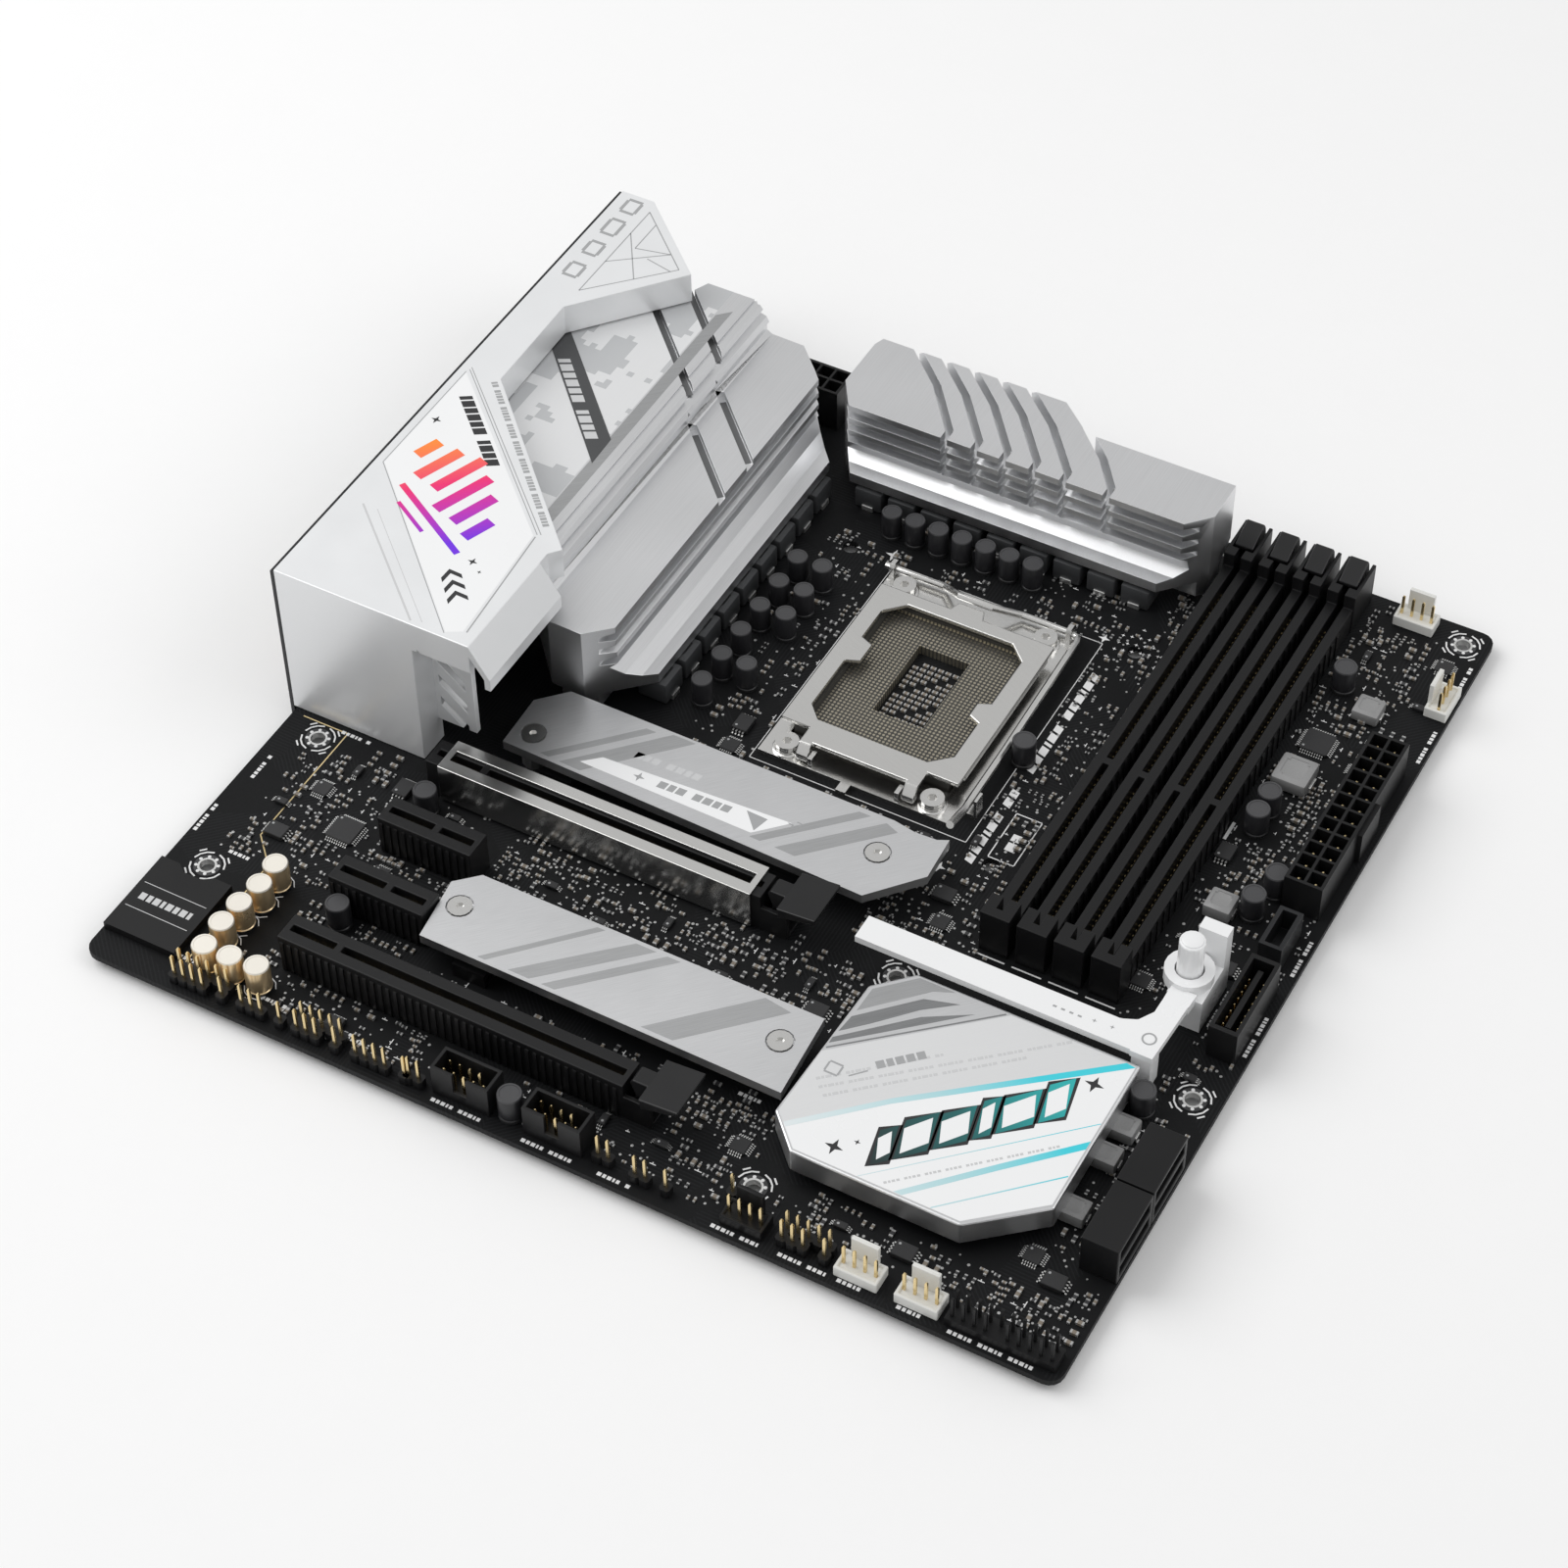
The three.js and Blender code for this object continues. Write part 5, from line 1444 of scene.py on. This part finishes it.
def make_rear_fittings():
    """Coloured jack rings, port tongues, aerial posts, status lamps and plate marks."""
    colors = ("orange", "black", "grey", "blue", "green", "pink")
    for number, color in enumerate(colors):
        y = (95.6, 107.6)[number // 3]
        z = (27.6, 16.6, 5.6)[number % 3]
        ring = turned(
            f"jack_{number + 1}",
            [(4.1, 0), (4.1, 0.5), (3.8, 0.8), (2.5, 0.8), (2.2, 0.5), (2.2, 0)],
            sides=32, closed=True)
        face_rear(ring, y, z, -4.35)
        wear_finish(ring, ["jack_" + color])
        complete(ring)
    for number, y in enumerate((122.5, 131.5), 1):
        profile = [(3.3, 0)]
        for turn in range(7):
            profile += [(3.3, 0.5 + turn), (2.95, 0.75 + turn)]
        post = turned(f"aerial_post_{number}", [(3.32, 0.0)] + [(r + 0.1, z + 0.2) for r, z in profile[1:]]
                      + [(2.6, 7.55), (1.6, 7.55), (1.4, 5.5)], sides=28)
        face_rear(post, y, 12, -1.9)
        wear_finish(post, ["gold_plate"])
        complete(post)
    covers = []
    for node in ("usb_stack_1", "usb_stack_2"):
        x0, y0, x1, y1 = plan(node)
        for index in range(4):
            z = 5.05 + 7.6 * index
            tongue = start_block("usb_tongue", (-0.9, y0 + 1.7, z - 0.95), (8.0, y1 - 1.7, z + 0.95))
            pick_faces(tongue, lambda centre, normal: normal.x < -0.9)
            inset(0.35)
            extrude(-0.15, 0, 0)
            bpy.ops.object.mode_set(mode="OBJECT")
            tongue.data.transform(Matrix.Translation(ORIGIN))
            wear_finish(tongue, ["port_teal"])
            covers.append(tongue)
    complete(join_pieces("usb_tongues", covers))
    lamps = []
    for y in (140.2, 150.0):
        lamp = start_block("lamp", (-2.05, y - 1.2, 25.4), (-1.5, y + 1.2, 26.8))
        round_edges(lamp, 0.2, 2)
        lamp.data.transform(Matrix.Translation(ORIGIN))
        wear_finish(lamp, ["ivory_moulding"])
        lamps.append(lamp)
    complete(join_pieces("network_lamps", lamps))
    marks = []
    for y, z in ((145, 31), (164.3, 34.4), (182.7, 34.4), (203, 23.6), (220, 16), (127, 23.4),
                 (95.6, 34.4), (107.6, 34.4)):
        mark = start_block("plate_mark", (-1.93, y - 2.6, z), (-1.86, y + 2.6, z + 0.5))
        pick_faces(mark, lambda centre, normal: normal.z > 0.9)
        extrude(0, 0, 0.5)
        bpy.ops.transform.resize(value=(1, 0.4, 1), center_override=(0, y * MM, 0))
        bpy.ops.object.mode_set(mode="OBJECT")
        mark.data.transform(Matrix.Translation(ORIGIN))
        wear_finish(mark, ["print_white"])
        marks.append(mark)
    complete(join_pieces("plate_marks", marks))


# ---- under the board ----

def make_solder_points():
    """Solder cones under the through-hole parts."""
    low = (PCB_LOW.z - ORIGIN.z) / MM
    places = []
    for number in range(1, 5):
        x0, y0, x1, y1 = plan(f"dimm_slot_{number}")
        for i in range(66):
            places += [here((x0 + x1) / 2 + side * 1.1, y0 + 8 + i * 2.0, low) for side in (-1, 1)]
    for node, length in EXPANSION_SLOTS.items():
        x0, y0, x1, y1 = plan(node)
        for i in range(int(length / 2) - 1):
            places += [here(x0 + 2 + 2 * i, (y0 + y1) / 2 + side * 1.6, low) for side in (-1, 1)]
    for node, columns, rows in (("power_main", 2, 12), ("power_cpu", 4, 2)):
        x0, y0, x1, y1 = plan(node)
        places += [here(x0 + 0.45 + (i + 0.5) * 4.2, y0 + 0.45 + (j + 0.5) * 4.2, low, scale=1.9)
                   for i in range(columns) for j in range(rows)]
    for x, y, columns, rows in PIN_HEADERS:
        places += [here(x + (i + 0.5) * HEADER_PITCH, y + (j + 0.5) * HEADER_PITCH, low, scale=1.3)
                   for i in range(columns) for j in range(rows)]
    for x, y in AUDIO_CAPS + REGULATOR_CAPS + OTHER_CAPS:
        places += [here(x + side, y, low, scale=1.5) for side in (-1.2, 1.2)]
    cone = turned("solder", [(0.5, 0.02), (0.46, -0.12), (0.26, -0.5), (0.16, -0.95)], sides=8)
    wear_finish(cone, ["solder_tin"])
    joined_copies("solder_points", cone, places)


# ---- stage ----

CAMERA_PLACE = (399.264, -385.239, 627.781)
CAMERA_FORWARD = (-0.33311, 0.59085, -0.73480)
CAMERA_RIGHT = (0.87612, 0.48200, -0.00960)
CAMERA_LENS = 83.73


def add_softbox(name, place, aim, size, power):
    clear_selection()
    bpy.ops.object.light_add(type="AREA", location=place)
    light = bpy.context.object
    light.name = name
    light.data.shape = "RECTANGLE"
    light.data.size, light.data.size_y = size
    light.data.energy = power
    light.rotation_mode = "QUATERNION"
    light.rotation_quaternion = (Vector(aim) - Vector(place)).to_track_quat("-Z", "Y")


def make_stage(looks):
    """A plain pale floor, soft lights and the camera."""
    reach = 3000
    floor = start_outline("floor", rectangle(-reach, -reach, reach, reach), -20, 0)
    floor.data.transform(Matrix.Translation((0, 0, CAD_LOW.z)))
    grained("floor_white", (0.93, 0.93, 0.93), 0.9, grain=300.0, depth=0.02, vary=0.01, spec=0.0)
    wear_finish(floor, ["floor_white"])
    world = bpy.data.worlds.new("Studio")
    world.use_nodes = True
    world.node_tree.nodes["Background"].inputs["Color"].default_value = (1, 1, 1, 1)
    world.node_tree.nodes["Background"].inputs["Strength"].default_value = looks.room_light
    scene = bpy.context.scene
    scene.world = world
    scene.view_settings.view_transform = "Standard"
    middle = (CAD_LOW + CAD_HIGH) / 2
    add_softbox("top_softbox", middle + Vector((-0.80, -0.15, 0.95)), middle, (1.0, 1.0), looks.key_light)
    add_softbox("front_softbox", middle + Vector((0.85, 0.25, 0.85)), middle, (0.7, 0.7),
                looks.key_light * 0.3)
    camera = bpy.data.objects.new("camera", bpy.data.cameras.new("camera"))
    scene.collection.objects.link(camera)
    forward, right = Vector(CAMERA_FORWARD).normalized(), Vector(CAMERA_RIGHT).normalized()
    up = right.cross(forward)
    turn = Matrix((right, up, -forward)).transposed()
    camera.matrix_world = Matrix.Translation(at(*CAMERA_PLACE)) @ turn.to_4x4()
    camera.data.lens = CAMERA_LENS
    camera.data.sensor_width = 36
    camera.data.clip_start, camera.data.clip_end = 0.01, 20
    scene.camera = camera


# ---- settings, operators and panel ----

class BoardLooks(bpy.types.PropertyGroup):
    board_color: bpy.props.FloatVectorProperty(
        name="Board", description="Colour of the solder mask", subtype="COLOR",
        default=(0.0055, 0.0058, 0.0064))
    plastic_color: bpy.props.FloatVectorProperty(
        name="Plastic", description="Colour of the moulded connectors", subtype="COLOR",
        default=(0.0065, 0.0065, 0.007))
    aluminium_color: bpy.props.FloatVectorProperty(
        name="Aluminium", description="Colour of the heatsinks", subtype="COLOR",
        default=(0.77, 0.775, 0.785))
    shell_color: bpy.props.FloatVectorProperty(
        name="Shroud", description="Colour of the rear shroud", subtype="COLOR", default=(0.85, 0.86, 0.87))
    print_color: bpy.props.FloatVectorProperty(
        name="Print", description="Colour of the marks printed on the board", subtype="COLOR",
        default=(0.78, 0.78, 0.78))
    edge_scale: bpy.props.FloatProperty(
        name="Edges", description="How wide the broken edges of the solid parts are", default=1.0,
        min=0.2, max=2.0)
    scatter_seed: bpy.props.IntProperty(
        name="Scatter", description="Which drawing of the small parts is used", default=11)
    room_light: bpy.props.FloatProperty(
        name="Room light", description="Strength of the even light from all round", default=0.62, min=0.0)
    key_light: bpy.props.FloatProperty(
        name="Main light", description="Power of the main softbox", default=7.5, min=0.0, subtype="POWER")


class FinishSolids(bpy.types.Operator):
    """Makes the finishes and gives one to every solid part"""
    bl_idname = "board.finish_solids"
    bl_label = "Finish solid parts"

    def execute(self, context):
        make_finishes(context.scene.board_looks)
        dress_solids(context.scene.board_looks.edge_scale)
        return {"FINISHED"}


class Capacitors(bpy.types.Operator):
    """Stands the capacitors on the board"""
    bl_idname = "board.capacitors"
    bl_label = "Capacitors"

    def execute(self, context):
        make_capacitors()
        return {"FINISHED"}


class Chokes(bpy.types.Operator):
    """Stands the power chokes on the board"""
    bl_idname = "board.chokes"
    bl_label = "Chokes"

    def execute(self, context):
        make_chokes()
        return {"FINISHED"}


class Chips(bpy.types.Operator):
    """Stands the moulded chips on the board"""
    bl_idname = "board.chips"
    bl_label = "Chips"

    def execute(self, context):
        make_chips()
        return {"FINISHED"}


class SmallParts(bpy.types.Operator):
    """Scatters small parts, vias and marks"""
    bl_idname = "board.small_parts"
    bl_label = "Small parts"

    def execute(self, context):
        make_small_parts(context.scene.board_looks)
        return {"FINISHED"}


class PinHeaders(bpy.types.Operator):
    """Models the bare pin headers"""
    bl_idname = "board.pin_headers"
    bl_label = "Pin headers"

    def execute(self, context):
        make_pin_headers()
        return {"FINISHED"}


class FanHeaders(bpy.types.Operator):
    """Models the four-pin headers"""
    bl_idname = "board.fan_headers"
    bl_label = "Fan headers"

    def execute(self, context):
        make_fan_headers()
        return {"FINISHED"}


class Contacts(bpy.types.Operator):
    """Puts pins into the boxed connectors"""
    bl_idname = "board.contacts"
    bl_label = "Connector contacts"

    def execute(self, context):
        make_connector_contacts()
        return {"FINISHED"}


class SlotDetails(bpy.types.Operator):
    """Adds contacts and ribs to the slots"""
    bl_idname = "board.slot_details"
    bl_label = "Slot details"

    def execute(self, context):
        make_slot_details()
        return {"FINISHED"}


class SocketDetails(bpy.types.Operator):
    """Adds the land parts and screw washers"""
    bl_idname = "board.socket_details"
    bl_label = "Socket details"

    def execute(self, context):
        make_socket_details()
        return {"FINISHED"}


class Lever(bpy.types.Operator):
    """Bends the load lever's wire"""
    bl_idname = "board.lever"
    bl_label = "Load lever"

    def execute(self, context):
        make_lever()
        return {"FINISHED"}


class HolePads(bpy.types.Operator):
    """Rings the mounting holes"""
    bl_idname = "board.hole_pads"
    bl_label = "Hole pads"

    def execute(self, context):
        make_hole_pads()
        return {"FINISHED"}


class BoardPrints(bpy.types.Operator):
    """Prints the plain marks on the board"""
    bl_idname = "board.board_prints"
    bl_label = "Board prints"

    def execute(self, context):
        make_board_prints()
        return {"FINISHED"}


class ShroudPrints(bpy.types.Operator):
    """Prints the rear shroud"""
    bl_idname = "board.shroud_prints"
    bl_label = "Shroud prints"

    def execute(self, context):
        make_shroud_prints()
        return {"FINISHED"}


class LeftSinkPrints(bpy.types.Operator):
    """Prints the left heatsink, and lays painted shade in its grooves"""
    bl_idname = "board.left_sink_prints"
    bl_label = "Left heatsink prints"

    def execute(self, context):
        make_left_sink_prints()
        return {"FINISHED"}


class ChipsetPrints(bpy.types.Operator):
    """Prints the chipset heatsink, with a painted highlight over its panel"""
    bl_idname = "board.chipset_prints"
    bl_label = "Chipset prints"

    def execute(self, context):
        make_chipset_prints()
        return {"FINISHED"}


class CoverPrints(bpy.types.Operator):
    """Prints the drive covers"""
    bl_idname = "board.cover_prints"
    bl_label = "Cover prints"

    def execute(self, context):
        make_cover_prints()
        return {"FINISHED"}


class ReleaseMarks(bpy.types.Operator):
    """Marks the release bar and its button"""
    bl_idname = "board.release_marks"
    bl_label = "Release marks"

    def execute(self, context):
        make_release_marks()
        return {"FINISHED"}


class RearFittings(bpy.types.Operator):
    """Fits rings, tongues and posts to the ports"""
    bl_idname = "board.rear_fittings"
    bl_label = "Rear fittings"

    def execute(self, context):
        make_rear_fittings()
        return {"FINISHED"}


class SolderPoints(bpy.types.Operator):
    """Adds the solder under the board"""
    bl_idname = "board.solder_points"
    bl_label = "Solder points"

    def execute(self, context):
        make_solder_points()
        return {"FINISHED"}


class Stage(bpy.types.Operator):
    """Sets the floor, lights and camera"""
    bl_idname = "board.stage"
    bl_label = "Stage"

    def execute(self, context):
        make_stage(context.scene.board_looks)
        return {"FINISHED"}


OPERATORS = [
    FinishSolids, Capacitors, Chokes, Chips, SmallParts, PinHeaders, FanHeaders, Contacts,
    SlotDetails, SocketDetails, Lever, HolePads, BoardPrints, ShroudPrints, LeftSinkPrints,
    ChipsetPrints, CoverPrints, ReleaseMarks, RearFittings, SolderPoints, Stage,
]


class BoardPanel(bpy.types.Panel):
    bl_idname = "VIEW3D_PT_board_looks"
    bl_label = "Motherboard"
    bl_space_type = "VIEW_3D"
    bl_region_type = "UI"
    bl_category = "Board"

    def draw(self, context):
        for name in BoardLooks.__annotations__:
            self.layout.prop(context.scene.board_looks, name)
        for operator in OPERATORS:
            self.layout.operator(operator.bl_idname)


def register():
    for kind in [BoardLooks] + OPERATORS + [BoardPanel]:
        bpy.utils.register_class(kind)
    bpy.types.Scene.board_looks = bpy.props.PointerProperty(type=BoardLooks)


def unregister():
    del bpy.types.Scene.board_looks
    for kind in reversed([BoardLooks] + OPERATORS + [BoardPanel]):
        bpy.utils.unregister_class(kind)


def main():
    register()
    for operator in OPERATORS:
        group, name = operator.bl_idname.split(".")
        getattr(getattr(bpy.ops, group), name)()


if __name__ == "__main__":
    main()
